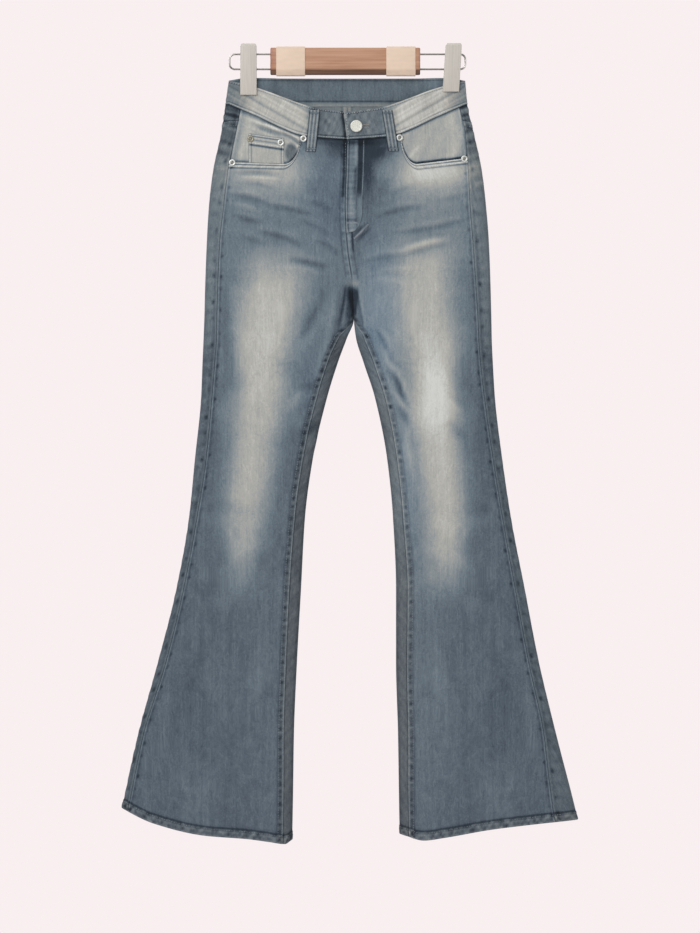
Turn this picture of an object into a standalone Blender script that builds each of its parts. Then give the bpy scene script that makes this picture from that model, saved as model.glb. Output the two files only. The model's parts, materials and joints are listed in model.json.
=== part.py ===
"""Flared five-pocket jeans hanging from a clip hanger, each cut piece a closed solid of its own.

The garment is described as one hollow surface. For each half (wearer's right at -X, left at +X)
a point on it has two coordinates: `turn`, which runs 0..1 across the front from the inner edge to
the outer fold and 1..2 back across the rear, and `drop`, the distance below the hanger bar's top.
Every panel is a patch of that surface with a wall, and what lies on a panel is moved out from it.

Lengths are millimetres in the tables and metres in the meshes. Front faces -Y, +Z is up, and the
origin is the middle of the bar's top, where the hanger is held.
"""

import math
from collections import namedtuple

import bmesh
import bpy
import numpy as np

for old in list(bpy.data.objects):
    bpy.data.objects.remove(old)
parts = bpy.data.collections.new("flared jeans")
cutters = bpy.data.collections.new("cutters")
bpy.context.scene.collection.children.link(parts)
bpy.context.scene.collection.children.link(cutters)

MM = 0.001
GAP = 0.3  # between neighbouring pieces
SEAM = GAP / 2  # each piece's share of it
NUDGE = 0.02  # step in turn for measuring slopes

# ---------------------------------------------------------------- driving sizes
CLOTH = 1.4  # wall of a denim panel
BAND_OUT = 0.5  # how far the waistband stands out from the panels' surface
BAND_WALL = 2.4
HEM_HEIGHT = 12.0
HEM_OUT = 0.7  # the turned-up hem stands this far out, and in
FACING_WALL = 1.0
PATCH_WALL = 1.0

CROTCH_TOP = 322.0  # where the front rise begins to turn under
CROTCH_BOTTOM = 380.0  # the lowest point of the seat seam
FLARE_START = 930.0  # below this the rows lean over to the slanting hem

Level = namedtuple(
    "Level",
    "drop right_edge right_seam right_inner left_inner left_seam left_edge inset front back"
    " crown_front crown_back",
)
# One row for each section: the outer folds, side seams and inner folds seen from the front, the
# inseam's distance from the inner fold, and how far front and back stand out from the middle plane.
LEVELS = [
    Level(*row)
    for row in (
        (38, -165, -150, -0.7, -0.7, 146, 164, 0, 6, 6, 7, 7),
        (80, -171, -150, -0.7, -0.7, 156, 168, 0, 7, 8, 6, 8),
        (120, -177, -156.5, -0.4, -0.4, 164.5, 177, 0, 9, 11, 5, 9),
        (171, -188, -167, -1.3, -1.3, 169, 188, 0, 10, 13, 5, 11),
        (221, -194, -173, -2.9, -2.9, 171.5, 194, 0, 11, 14, 4, 12),
        (272, -197, -178.5, -0.7, -0.7, 175.5, 198, 0, 11, 14, 3, 9),
        (339, -199.5, -181.5, 7.7, 7.7, 180, 200.5, 0, 11, 13, 1, 4),
        (380, -200.5, -182.5, 8.9, 8.9, 182.5, 201.5, 0, 11, 12, 1, 2),
        (406, -201.5, -183, -0.7, 11.9, 183.5, 202, 11, 11, 12, 1, 1),
        (440, -203, -185.5, -13.3, 22.4, 186, 203.5, 14, 11, 12, 1, 1),
        (490, -205, -189.5, -28.7, 38.5, 191.5, 206.5, 14, 11, 11, 1, 1),
        (574, -213.5, -197.5, -48.3, 55.3, 203.5, 216.5, 13.5, 10, 10, 1, 1),
        (658, -222, -210.5, -59.5, 63.7, 217, 229, 14, 9, 10, 1, 1),
        (759, -240, -229.5, -65.1, 67.9, 235, 248.5, 16, 9, 9, 1, 1),
        (860, -265.5, -254, -70.7, 67.9, 253.5, 268, 15, 9, 9, 1, 1),
        (960, -293, -285, -74.9, 70.7, 275, 292, 14, 10, 10, 2, 2),
        (1053, -313.5, -304.5, -76.3, 72.1, 287.5, 316, 13, 11, 11, 3, 3),
        (1125, -328, -318, -77.7, 73.5, 297, 333, 13, 11, 11, 3, 3),
    )
]

Hem = namedtuple("Hem", "share right left")
# The hem's lower edge as drops, from the inner fold (share 0) to the outer fold (share 1).
HEMS = [
    Hem(*row)
    for row in (
        (0.0, 1108, 1100),
        (0.04, 1114, 1103),
        (0.13, 1111, 1109),
        (0.25, 1107, 1105),
        (0.5, 1102, 1094),
        (0.8, 1085, 1085),
        (1.0, 1064, 1080),
    )
]

Waist = namedtuple("Waist", "x top bottom")
# The front half of the waistband, which dips between the clips: half widths and drops.
WAISTS = [
    Waist(*row)
    for row in (
        (0, 90.3, 129.5),
        (52, 82.5, 125.5),
        (71, 76.5, 121.3),
        (92, 68.6, 113.0),
        (127, 55.6, 95.8),
        (166, 45.5, 79.8),
    )
]
BACK_BAND_TOP = 42.0
BACK_BAND_BOTTOM = 81.0

Yoke = namedtuple("Yoke", "turn drop")
YOKES = [Yoke(*row) for row in ((0.86, 102.0), (1.0, 105.0), (1.4, 122.0), (2.0, 146.0))]

Scoop = namedtuple("Scoop", "start corner corner_drop side_drop")
# Front pocket mouths: where the curve leaves the waistband, where it has turned level, and its
# drop at the side seam.
SCOOPS = {
    -1: Scoop(-65.8, -88.0, 163.1, 160.6),
    1: Scoop(74.8, 97.0, 163.2, 154.8),
}
BAND_CLEAR = GAP + 0.3  # below the band's curved edge, for the chords of both pieces
SCOOP_TUCK = 12.0  # how far the facing goes on behind the front panel

Fold = namedtuple("Fold", "half face turn_a drop_a turn_b drop_b reach height")
# The largest folds and hollows of the hanging cloth: face -1 front, 1 back; reach across, height out.
FOLDS = [
    Fold(*row)
    for row in (
        (-1, -1, 0.30, 400, 0.42, 640, 24, 2.2),
        (-1, -1, 0.72, 560, 0.62, 1040, 30, 2.4),
        (-1, -1, 0.30, 700, 0.24, 1110, 26, -2.2),
        (-1, -1, 0.16, 300, 0.62, 250, 18, 1.6),
        (1, -1, 0.34, 360, 0.30, 600, 22, 2.2),
        (1, -1, 0.70, 640, 0.66, 1100, 30, 2.6),
        (1, -1, 0.34, 760, 0.30, 1110, 26, -2.2),
        (1, -1, 0.14, 310, 0.60, 262, 18, 1.6),
        (-1, 1, 1.70, 300, 1.30, 380, 22, 3.0),
        (-1, 1, 1.62, 420, 1.50, 760, 30, -2.4),
        (-1, 1, 1.34, 700, 1.40, 1100, 30, 2.6),
        (1, 1, 1.72, 306, 1.32, 372, 22, 3.0),
        (1, 1, 1.60, 440, 1.52, 720, 30, -2.4),
        (1, 1, 1.36, 660, 1.42, 1090, 30, 2.6),
    )
]

# The clips: middle x and drop of the jaws' lower end, drop of the upper end, and how far the
# upper end leans along x; they share one profile.
Clip = namedtuple("Clip", "name x top bottom lean")
CLIPS = (Clip("clip_right", -138.6, -6.0, 66.0, 0.0), Clip("clip_left", 144.6, -6.5, 61.5, 4.2))
CLIP_WIDTH = 23.0
PINCH_HALF = 2.2  # the garment's half depth between the jaws
JAW_HALF = 3.0  # the jaws' inner faces
JAW_WALL = 2.2

# ---------------------------------------------------------------- smooth tables


def smooth(xs, ys):
    """A rising-x table as a smooth curve that never overshoots its rows (monotone cubic)."""
    xs, ys = np.array(xs, float), np.array(ys, float)
    slopes = np.diff(ys) / np.diff(xs)
    tangents = np.zeros_like(xs)
    both = slopes[:-1] * slopes[1:]
    tangents[1:-1] = np.where(both > 0, 2 * both / (slopes[:-1] + slopes[1:] + 1e-12 * (both <= 0)), 0)
    tangents[0], tangents[-1] = slopes[0], slopes[-1]

    def value(x):
        x = min(max(x, xs[0]), xs[-1])
        i = min(int(np.searchsorted(xs, x, side="right")) - 1, len(xs) - 2)
        span = xs[i + 1] - xs[i]
        t = (x - xs[i]) / span
        return float(
            ys[i] * (1 + 2 * t) * (1 - t) ** 2
            + tangents[i] * span * t * (1 - t) ** 2
            + ys[i + 1] * t * t * (3 - 2 * t)
            + tangents[i + 1] * span * t * t * (t - 1)
        )

    return value


def column(rows, key, name):
    """The named column of a table as a smooth curve over its key column."""
    return smooth([getattr(r, key) for r in rows], [getattr(r, name) for r in rows])


LEVEL = {name: column(LEVELS, "drop", name) for name in Level._fields[1:]}
HEM = {-1: column(HEMS, "share", "right"), 1: column(HEMS, "share", "left")}
WAIST_TOP = column(WAISTS, "x", "top")
WAIST_BOTTOM = column(WAISTS, "x", "bottom")
YOKE = column(YOKES, "turn", "drop")


def step(t):
    """Eases from 0 to 1 as t does."""
    t = min(max(t, 0.0), 1.0)
    return t * t * (3 - 2 * t)


# ---------------------------------------------------------------- the hollow surface


def inner_x(half, drop):
    """The inner edge: the centre seam above the crotch, the inner fold of the leg below it."""
    name = "right_inner" if half < 0 else "left_inner"
    return LEVEL[name](drop) + half * SEAM


def outer_x(half, drop):
    return LEVEL["right_edge" if half < 0 else "left_edge"](drop)


def seam_x(half, drop):
    return LEVEL["right_seam" if half < 0 else "left_seam"](drop)


def turn_at(half, x, drop):
    """The turn on the front face that lies at x."""
    inner, outer = inner_x(half, drop), outer_x(half, drop)
    share = min(max((x - inner) / (outer - inner), 0.0), 1.0)
    return math.acos(1 - 2 * share) / math.pi


def wrap(turn):
    """A turn within 0..2, where 2 stays the rear's end and 0 the front's start."""
    if turn > 2:
        return turn - 2
    return turn + 2 if turn < 0 else turn


def share_of(turn):
    """How far across the half a turn lies, 0 at the inner edge and 1 at the outer fold."""
    return (1 - math.cos(math.pi * turn)) / 2


def opening_at_centre(drop):
    """1 where front and back run on into the other half, 0 where the leg is a closed tube."""
    q = (drop - CROTCH_TOP) / (CROTCH_BOTTOM - CROTCH_TOP)
    return math.sqrt(1 - min(max(q, 0.0), 1.0) ** 2)


def fold_height(half, face, turn, drop):
    """The folds' height at a point, each a soft ridge that fades out at its two ends."""
    height = 0.0
    for f in FOLDS:
        if f.half != half or f.face != face:
            continue
        width = abs(outer_x(half, drop) - inner_x(half, drop))
        ax, ay = share_of(f.turn_a) * width, f.drop_a
        bx, by = share_of(f.turn_b) * width, f.drop_b
        px, py = share_of(turn) * width - ax, drop - ay
        length = math.hypot(bx - ax, by - ay)
        ux, uy = (bx - ax) / length, (by - ay) / length
        along = (px * ux + py * uy) / length
        across = px * uy - py * ux
        fade = math.sin(math.pi * min(max(along, 0.0), 1.0)) ** 0.7
        height += f.height * fade * math.exp(-((across / f.reach) ** 2))
    return height


def pinch(x, drop):
    """1 where a clip presses front and back together, 0 clear of it."""
    strength = 0.0
    for clip in CLIPS:
        beside = 1 - (abs(x - clip.x) - CLIP_WIDTH / 2 - 4.5) / 30
        below = 1 - (drop - clip.bottom - 8) / 75
        strength = max(strength, step(beside) * step(below))
    return strength


def surface(half, turn, drop):
    """A point of the garment's outer surface, in millimetres."""
    turn = wrap(turn)
    face = "front" if turn <= 1.0 else "back"
    sign = -1 if face == "front" else 1
    inner, outer = inner_x(half, drop), outer_x(half, drop)
    width = abs(outer - inner)
    share = share_of(turn)
    x = inner + (outer - inner) * share

    outer_run = min((1 - share) * width / (8 + 20 * step((drop - 60) / 130)), 1.0)
    inner_run = min(share * width / (6 + 22 * step((drop - CROTCH_TOP) / 60)), 1.0)
    outer_fall = math.sqrt(1 - (1 - outer_run) ** 2)
    inner_fall = math.sqrt(1 - (1 - inner_run) ** 2)
    hold = opening_at_centre(drop)

    body = 1 - step((drop - 280) / 90)  # crowned over the whole body above, over each leg below
    crown = body * (1 - share**2) + (1 - body) * 4 * share * (1 - share)
    depth = LEVEL[face](drop) + LEVEL["crown_" + face](drop) * crown
    depth += fold_height(half, sign, turn, drop)
    pressed = pinch(x, drop)
    depth = (1 - pressed) * depth + pressed * PINCH_HALF
    return np.array([x, sign * depth * outer_fall * (hold + (1 - hold) * inner_fall), -drop])


def normal(half, turn, drop):
    """The outward direction of the surface."""
    turn = wrap(turn)
    before, after = turn - NUDGE, turn + NUDGE
    if opening_at_centre(drop) > 0.02:  # the centre edge has no neighbour across it
        if turn < NUDGE:
            before, after = 0.002, 0.08
        elif turn > 2 - NUDGE:
            before, after = 1.92, 1.998
    across = surface(half, after, drop) - surface(half, before, drop)
    down = surface(half, turn, drop + 2) - surface(half, turn, drop - 2)
    out = -half * np.cross(across, down)
    return out / np.linalg.norm(out)


def shift(half, turn, drop, distance):
    """The turn that lies a distance further along the section."""
    if opening_at_centre(drop) > 0.02:
        return turn
    before, after = surface(half, turn - 0.01, drop), surface(half, turn + 0.01, drop)
    return turn + distance * 0.02 / np.linalg.norm(after - before)


def front_turn(x, drop):
    """The half and turn of a point on the front, wherever the centre seam runs."""
    half = -1 if x < LEVEL["left_inner"](drop) else 1
    return half, turn_at(half, x, drop)


def band_edge(half, turn, front, back):
    """The drop of one edge of the waistband: a curve over x in front, level behind."""
    drop = back
    for _ in range(4):  # x moves a little with the drop, so the pair is settled in turns
        x = inner_x(half, drop) + (outer_x(half, drop) - inner_x(half, drop)) * share_of(turn)
        drop = front(abs(x))
    return drop if turn <= 1 else back + (drop - back) * (1 - step((turn - 1) / 0.25))


def band_edges(half, turn):
    """The drops of the waistband's upper and lower edge."""
    return (
        band_edge(half, turn, WAIST_TOP, BACK_BAND_TOP),
        band_edge(half, turn, WAIST_BOTTOM, BACK_BAND_BOTTOM),
    )


def hem_drop(half, turn):
    return HEM[half](share_of(turn))


# ---------------------------------------------------------------- mesh helpers


def finish(name, mesh, look):
    """Puts a mesh in the scene under its node's name, with its own material."""
    mesh.name = name
    obj = bpy.data.objects.new(name, mesh)
    parts.objects.link(obj)
    colour, roughness, metallic = look
    material = bpy.data.materials.new(name)
    material.use_nodes = True
    shader = material.node_tree.nodes["Principled BSDF"]
    shader.inputs["Base Color"].default_value = (*colour, 1)
    shader.inputs["Roughness"].default_value = roughness
    shader.inputs["Metallic"].default_value = metallic
    material.diffuse_color = (*colour, 1)
    mesh.materials.append(material)
    return obj


def sheet(name, grid, out, wall, look):
    """A walled patch of the garment: rows of (half, turn, drop), each point moved out by
    `out` and given `wall` inwards. Both may be numbers or tables shaped as the grid."""
    rows, columns = len(grid), len(grid[0])
    out = np.broadcast_to(out, (rows, columns))
    wall = np.broadcast_to(wall, (rows, columns))
    mesh = bmesh.new()
    skins = []
    for depth in (out, out - wall):
        skin = []
        for i, row in enumerate(grid):
            points = [surface(*at) + normal(*at) * depth[i, j] for j, at in enumerate(row)]
            skin.append([mesh.verts.new(p * MM) for p in points])
        skins.append(skin)
    outer, inner = skins
    for i in range(rows - 1):
        for j in range(columns - 1):
            mesh.faces.new((outer[i][j], outer[i][j + 1], outer[i + 1][j + 1], outer[i + 1][j]))
            mesh.faces.new((inner[i][j], inner[i + 1][j], inner[i + 1][j + 1], inner[i][j + 1]))
    rim = [(0, j) for j in range(columns)]
    rim += [(i, columns - 1) for i in range(1, rows)]
    rim += [(rows - 1, j) for j in range(columns - 2, -1, -1)]
    rim += [(i, 0) for i in range(rows - 2, 0, -1)]
    for (a, b), (c, d) in zip(rim, rim[1:] + rim[:1]):
        mesh.faces.new((outer[a][b], inner[a][b], inner[c][d], outer[c][d]))
    bmesh.ops.recalc_face_normals(mesh, faces=mesh.faces)
    data = bpy.data.meshes.new(name)
    mesh.to_mesh(data)
    mesh.free()
    data.shade_smooth()
    data.set_sharp_from_angle(angle=math.radians(50))
    return finish(name, data, look)


def spread(count, power=1.0):
    """Even shares from 0 to 1, drawn towards 0 by a power above 1."""
    return [(i / count) ** power for i in range(count + 1)]


DENIM = ((0.20, 0.27, 0.35), 0.85, 0.0)
DARK_DENIM = ((0.13, 0.18, 0.25), 0.85, 0.0)
FADED_DENIM = ((0.42, 0.44, 0.43), 0.85, 0.0)
SILVER = ((0.78, 0.78, 0.76), 0.35, 1.0)
WOOD = ((0.53, 0.30, 0.17), 0.5, 0.0)
CREAM = ((0.80, 0.64, 0.49), 0.7, 0.0)
STEEL = ((0.55, 0.54, 0.52), 0.3, 1.0)
CLIP_GREY = ((0.60, 0.55, 0.50), 0.45, 0.0)

# ---------------------------------------------------------------- leg panels

JOIN = 205.0  # below this the rows run level
LEVEL_ROWS = (205, 240, 275, 304, 322, 340, 354, 365, 374, 378.5, 380, 393, 412, 438, 468, 505)
LEVEL_ROWS += tuple(range(550, int(FLARE_START) + 1, 54))
RISE_ROWS = 4
FLARE_ROWS = 4


def lower_rows(half, turns):
    """Rows of a leg panel from JOIN to the hem; `turns(drop)` lists a level row's turns."""
    grid = [[(half, t, drop) for t in turns(drop)] for drop in LEVEL_ROWS]
    edges = [(k / FLARE_ROWS, HEM_HEIGHT + 0.6) for k in range(1, FLARE_ROWS + 1)]
    for k, above in edges + [(1.0, HEM_HEIGHT), (1.0, 0.0)]:
        row = []
        middle = LEVEL_ROWS[-1] + k * (hem_drop(half, 0.5) - LEVEL_ROWS[-1])
        for t in turns(middle):
            end = hem_drop(half, t) - above
            row.append((half, t, LEVEL_ROWS[-1] + k * (end - LEVEL_ROWS[-1])))
        grid.append(row)
    return grid


def hem_walls(grid):
    """Offsets and walls of a leg panel: plain cloth, and a thicker turned-up hem."""
    out = np.zeros((len(grid), len(grid[0])))
    wall = np.full_like(out, CLOTH)
    out[-2:] = HEM_OUT
    wall[-2:] = CLOTH + 2 * HEM_OUT
    return out, wall


def inseam_turn(half, drop):
    """Where the inseam lies: on the inner fold at the crotch, then round on the front."""
    width = abs(outer_x(half, drop) - inner_x(half, drop))
    inset = LEVEL["inset"](drop) if drop > CROTCH_BOTTOM else 0.0
    return math.acos(1 - 2 * inset / width) / math.pi


def mouth(half, x):
    """The upper edge of a front panel: the waistband seam, then the pocket's scoop."""
    scoop = SCOOPS[half]
    start_drop = WAIST_BOTTOM(abs(scoop.start)) + BAND_CLEAR
    across, along = half * x, half * scoop.start
    corner = half * scoop.corner
    if across <= along:
        return WAIST_BOTTOM(across) + BAND_CLEAR
    if across < corner:
        angle = math.acos(1 - (across - along) / (corner - along))
        return start_drop + (scoop.corner_drop - start_drop) * math.sin(angle)
    side = half * seam_x(half, scoop.side_drop)
    return scoop.corner_drop + (scoop.side_drop - scoop.corner_drop) * (across - corner) / (side - corner)


BAND_COLUMNS, ARC_COLUMNS, LEVEL_COLUMNS = 6, 3, 4


def front_panel(half, name):
    """From the centre seam to the side seam, cut away at the pocket mouth."""
    scoop = SCOOPS[half]
    columns = BAND_COLUMNS + ARC_COLUMNS + LEVEL_COLUMNS
    shares = spread(columns, 1.2)

    def turns(drop):
        inner = shift(half, inseam_turn(half, drop), drop, SEAM)
        first = surface(half, inner, drop)[0]
        last = seam_x(half, drop) - half * SEAM
        inside = [turn_at(half, first + (last - first) * s, drop) for s in shares[1:]]
        return [inner] + inside

    start, corner = scoop.start, scoop.corner
    inner = inner_x(half, WAISTS[0].bottom)
    side = seam_x(half, scoop.side_drop) - half * SEAM
    xs = [inner + (start - inner) * s for s in spread(BAND_COLUMNS)]
    xs += [start + (corner - start) * (1 - math.cos(s * math.pi / 2)) for s in spread(ARC_COLUMNS)[1:]]
    xs += [corner + (side - corner) * s for s in spread(LEVEL_COLUMNS)[1:]]
    top = [(x, mouth(half, x)) for x in xs]
    below = [(surface(half, t, JOIN)[0], JOIN) for t in turns(JOIN)]
    grid = []
    for k in spread(RISE_ROWS)[:-1]:
        row = []
        for (x_top, d_top), (x_low, d_low) in zip(top, below):
            x, drop = x_top + (x_low - x_top) * k, d_top + (d_low - d_top) * k
            row.append((half, turn_at(half, x, drop), drop))
        last = seam_x(half, row[-1][2]) - half * SEAM
        row[-1] = (half, turn_at(half, last, row[-1][2]), row[-1][2])
        row[0] = (half, 0.0, row[0][2])
        grid.append(row)
    grid += lower_rows(half, turns)
    return sheet(name, grid, *hem_walls(grid), DENIM)


BACK_COLUMNS = 16


def back_turns(half, drop):
    """From the side seam on the front, round the outer fold and the rear, to the centre
    seam above the crotch or round the inner fold to the inseam below it."""
    first = turn_at(half, seam_x(half, drop) + half * SEAM, drop)
    last = 2 + shift(half, inseam_turn(half, drop), drop, -SEAM)
    return [first + (last - first) * s for s in spread(BACK_COLUMNS)]


def yoke_seam(half):
    """The seam between yoke and back panel: a turn and a drop for each column."""
    return [(t, YOKE(t)) for t in back_turns(half, YOKES[0].drop)]


def at_side(half, drop):
    """The back pieces' edge at the side seam."""
    return half, turn_at(half, seam_x(half, drop) + half * SEAM, drop), drop


def back_panel(half, name):
    grid = []
    for k in spread(RISE_ROWS)[:-1]:
        row = []
        for (t, seam), t_low in zip(yoke_seam(half), back_turns(half, JOIN)):
            drop = seam + SEAM + (JOIN - seam - SEAM) * k
            row.append((half, t + (t_low - t) * k, drop))
        row[0] = at_side(half, row[0][2])
        grid.append(row)
    grid += lower_rows(half, lambda drop: back_turns(half, drop))
    return sheet(name, grid, *hem_walls(grid), DENIM)


def back_yoke(half, name):
    """Between the waistband and the yoke seam, round to the side seam on the front."""
    grid = []
    for k in spread(3):
        row = []
        for t, seam in yoke_seam(half):
            top = band_edges(half, t)[1] + GAP
            row.append((half, t, top + (seam - SEAM - top) * k))
        row[0] = at_side(half, row[0][2])
        grid.append(row)
    return sheet(name, grid, 0, CLOTH, DENIM)


for half, side in ((-1, "right"), (1, "left")):
    front_panel(half, f"front_{side}")
    back_panel(half, f"back_{side}")
    back_yoke(half, f"yoke_{side}")

# ---------------------------------------------------------------- waistband

BUTTON_DROP = 110.3  # the band's middle at the centre front
LAP_TOP, LAP_BOTTOM = -5.7, -0.8  # the upper end's slanting edge there
SINK = BAND_WALL + GAP  # how far the lower end passes beneath it


def waistband():
    """One band from the lapped end round the left side, the back and the right side."""
    round_turns = [0.26 + i * (1.95 - 0.26) / 35 for i in range(36)]
    stations = [(x, None, None, 0) for x in (LAP_TOP, 7.0, 16.0)]
    stations += [(None, 1, t, 0) for t in round_turns]
    stations += [(None, -1, t, 0) for t in reversed(round_turns)]
    stations += [(-16.0, None, None, 0), (-11.5, None, None, 0)]
    stations += [(x, None, None, SINK) for x in (-8.0, 6.0, 20.0, 34.0)]
    grid, out = [], []
    for k in spread(2):
        row = []
        for i, (x, half, turn, _) in enumerate(stations):
            if x is not None:
                x = LAP_TOP + (LAP_BOTTOM - LAP_TOP) * k if i == 0 else x
                half, turn = front_turn(x, BUTTON_DROP)
            top, bottom = band_edges(half, turn)
            drop = top + (bottom - top) * k
            row.append((half, turn_at(half, x, drop) if x is not None else turn, drop))
        grid.append(row)
        out.append([BAND_OUT - sink for *_, sink in stations])
    return sheet("waistband", grid, np.array(out), BAND_WALL, FADED_DENIM)


waistband()

# ---------------------------------------------------------------- what lies on the panels

FLY_WIDTH = 24.0
FLY_END = 259.0
FLY_TURN = 34.0  # height of the J's curve
FACING_SINK = CLOTH + GAP
FACING_RISE = 16.0  # how far from the side seam it sinks beneath the front
FACING_TOP = 86.0  # drop of the band's lower edge at the side seam


def fly():
    """The doubled strip beside the centre seam, its outer edge curving in as a J."""
    grid = []
    top = WAIST_BOTTOM(12) + GAP + 1.2
    for k in spread(9):
        drop = top + (FLY_END - top) * k
        bend = max((drop - (FLY_END - FLY_TURN)) / FLY_TURN, 0.0)
        width = 4 + (FLY_WIDTH - 4) * math.sqrt(1 - bend**2)
        inner = inner_x(1, drop) + 0.6
        grid.append([(1, turn_at(1, inner + width * s, drop), drop) for s in spread(3)])
    return sheet("fly", grid, GAP + PATCH_WALL, PATCH_WALL, DENIM)


def facing(half, name):
    """The hip piece in the pocket mouth: level with the back at the side seam, and sunk
    beneath the front panel where it goes on behind the scoop."""
    scoop = SCOOPS[half]
    inner = scoop.start - half * SCOOP_TUCK
    sides = [seam_x(half, drop) - half * 2 * GAP for drop in (FACING_TOP, scoop.side_drop + SCOOP_TUCK)]
    grid, out = [], []
    for k in spread(5):
        row, depth = [], []
        for s in spread(9):
            x_top, x_low = (side + (inner - side) * s for side in sides)
            top = WAIST_BOTTOM(abs(x_top)) + BAND_CLEAR
            beyond = half * x_low > half * scoop.corner
            low = (mouth(half, x_low) if beyond else scoop.corner_drop) + SCOOP_TUCK
            x, drop = x_top + (x_low - x_top) * k, top + (low - top) * k
            if s == 0:
                x = seam_x(half, drop) - half * 2 * GAP
            beside = step(1 - abs(seam_x(half, drop) - x) / FACING_RISE)
            above = step((low - SCOOP_TUCK - 3 - drop) / 22)
            row.append((half, turn_at(half, x, drop), drop))
            depth.append(-FACING_SINK * (1 - beside * above))
        grid.append(row)
        out.append(depth)
    return sheet(name, grid, np.array(out), FACING_WALL, FADED_DENIM)


COIN = ((-138.0, 120.0), (-89.0, 127.2))  # upper corners: x and drop


def coin_pocket():
    """A small patch on the right facing, running down to the pocket mouth."""
    (x_a, d_a), (x_b, d_b) = COIN
    grid = []
    for k in spread(3):
        row = []
        for s in spread(4):
            x = x_a + (x_b - x_a) * s
            top = d_a + (d_b - d_a) * s
            low = mouth(-1, x) - 2 * GAP
            row.append((-1, turn_at(-1, x, top), top + (low - top) * k))
        grid.append(row)
    return sheet("coin_pocket", grid, GAP - FACING_SINK + PATCH_WALL, PATCH_WALL, FADED_DENIM)


Patch = namedtuple("Patch", "centre top width narrow side point lean")
BACK_POCKET = Patch(94.0, 152.0, 134.0, 116.0, 118.0, 24.0, 4.0)


def back_pocket(half, name):
    """A five-sided patch on the back panel, its upper edge leaning down to the side."""
    p = BACK_POCKET
    grid = []
    for k in spread(6):
        row = []
        for s in spread(8):
            u = 2 * s - 1
            top = p.top + p.lean * u
            low = p.top + p.side + p.lean * u + p.point * (1 - abs(u))
            drop = top + (low - top) * k
            x = half * (p.centre + u * (p.width + (p.narrow - p.width) * k) / 2)
            row.append((half, 2 - turn_at(half, x, drop), drop))
        grid.append(row)
    return sheet(name, grid, GAP + PATCH_WALL, PATCH_WALL, DENIM)


LOOP_WIDTH, LOOP_WALL = 14.0, 1.6
LOOP_ARCH = 0.7  # the loop's slack over the band
Loop = namedtuple("Loop", "name face x_top top x_bottom bottom")
LOOPS = (
    Loop("belt_loop_front_right", -1, -45.6, 88.0, -51.4, 145.6),
    Loop("belt_loop_front_left", -1, 55.3, 88.0, 64.3, 145.0),
    Loop("belt_loop_back_right", 1, -98.0, 43.0, -96.0, 99.0),
    Loop("belt_loop_back_left", 1, 98.0, 43.0, 96.0, 99.0),
    Loop("belt_loop_centre_back", 1, -0.7, 43.0, -0.7, 99.0),
)


def belt_loop(loop):
    """A folded strip tacked above and below: over the band, then down on the panel."""
    grid, out = [], []
    for k in (0.0, 0.06, 0.3, 0.55, 0.72, 0.78, 0.88, 1.0):
        row, depth = [], []
        drop = loop.top + (loop.bottom - loop.top) * k
        middle = loop.x_top + (loop.x_bottom - loop.x_top) * k
        edge = WAIST_BOTTOM(abs(middle)) if loop.face < 0 else BACK_BAND_BOTTOM
        off_band = step((drop - edge - 4) / 5)
        under = GAP + BAND_OUT * (1 - off_band) + LOOP_ARCH * math.sin(math.pi * min(k / 0.85, 1))
        for s in (-1.0, 0.0, 1.0):
            half, turn = front_turn(middle + s * LOOP_WIDTH / 2, drop)
            turn = turn if loop.face < 0 else 2 - turn
            row.append((half, turn, drop))
            depth.append(under + LOOP_WALL)
        grid.append(row)
        out.append(depth)
    return sheet(loop.name, grid, np.array(out), LOOP_WALL, DENIM)


fly()
for half, side in ((-1, "right"), (1, "left")):
    facing(half, f"pocket_facing_{side}")
    back_pocket(half, f"back_pocket_{side}")
coin_pocket()
for loop in LOOPS:
    belt_loop(loop)

# ---------------------------------------------------------------- button and rivets

# Half sections of the turned metal pieces, as radius and height above the cloth.
BUTTON_PROFILE = (
    (0, 2.6), (4.6, 2.6), (5.4, 3.2), (7.2, 3.3), (8.5, 2.4), (8.3, 1.6), (3.5, 1.2), (3.2, 0), (0, 0)
)
RIVET_PROFILE = ((0, 1.9), (1.2, 1.8), (1.9, 1.1), (3.2, 1.3), (4.2, 0.6), (4.2, 0), (0, 0))


def stud(name, x, drop, base, profile, steps):
    """A turned stud whose foot stands `base` above the front surface at x and drop."""
    data = bpy.data.meshes.new(name)
    points = [(r * MM, 0, z * MM) for r, z in profile]
    data.from_pydata(points, [(i, i + 1) for i in range(len(points) - 1)], [])
    obj = finish(name, data, SILVER)
    screw = obj.modifiers.new("turned", "SCREW")
    screw.steps = screw.render_steps = steps
    screw.use_merge_vertices = True
    screw.merge_threshold = 0.00001
    half, turn = front_turn(x, drop)
    out = normal(half, turn, drop)
    obj.location = (surface(half, turn, drop) + out * base) * MM
    obj.rotation_euler = (math.atan2(math.hypot(out[0], out[1]), out[2]), 0, math.atan2(out[0], -out[1]))
    return obj


ON_BAND = BAND_OUT + GAP
stud("waist_button", 12.3, BUTTON_DROP, ON_BAND, BUTTON_PROFILE, 28)
stud("rivet_right_inner", -61.6, 127.6, ON_BAND, RIVET_PROFILE, 14)
stud("rivet_right_outer", -161.2, 161.0, GAP, RIVET_PROFILE, 14)
stud("rivet_left_inner", 72.9, 126.4, ON_BAND, RIVET_PROFILE, 14)
stud("rivet_left_outer", 163.3, 155.7, GAP, RIVET_PROFILE, 14)
stud("rivet_coin", -93.6, 132.4, GAP + PATCH_WALL + GAP - FACING_SINK, RIVET_PROFILE, 14)

# ---------------------------------------------------------------- hanger

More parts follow.
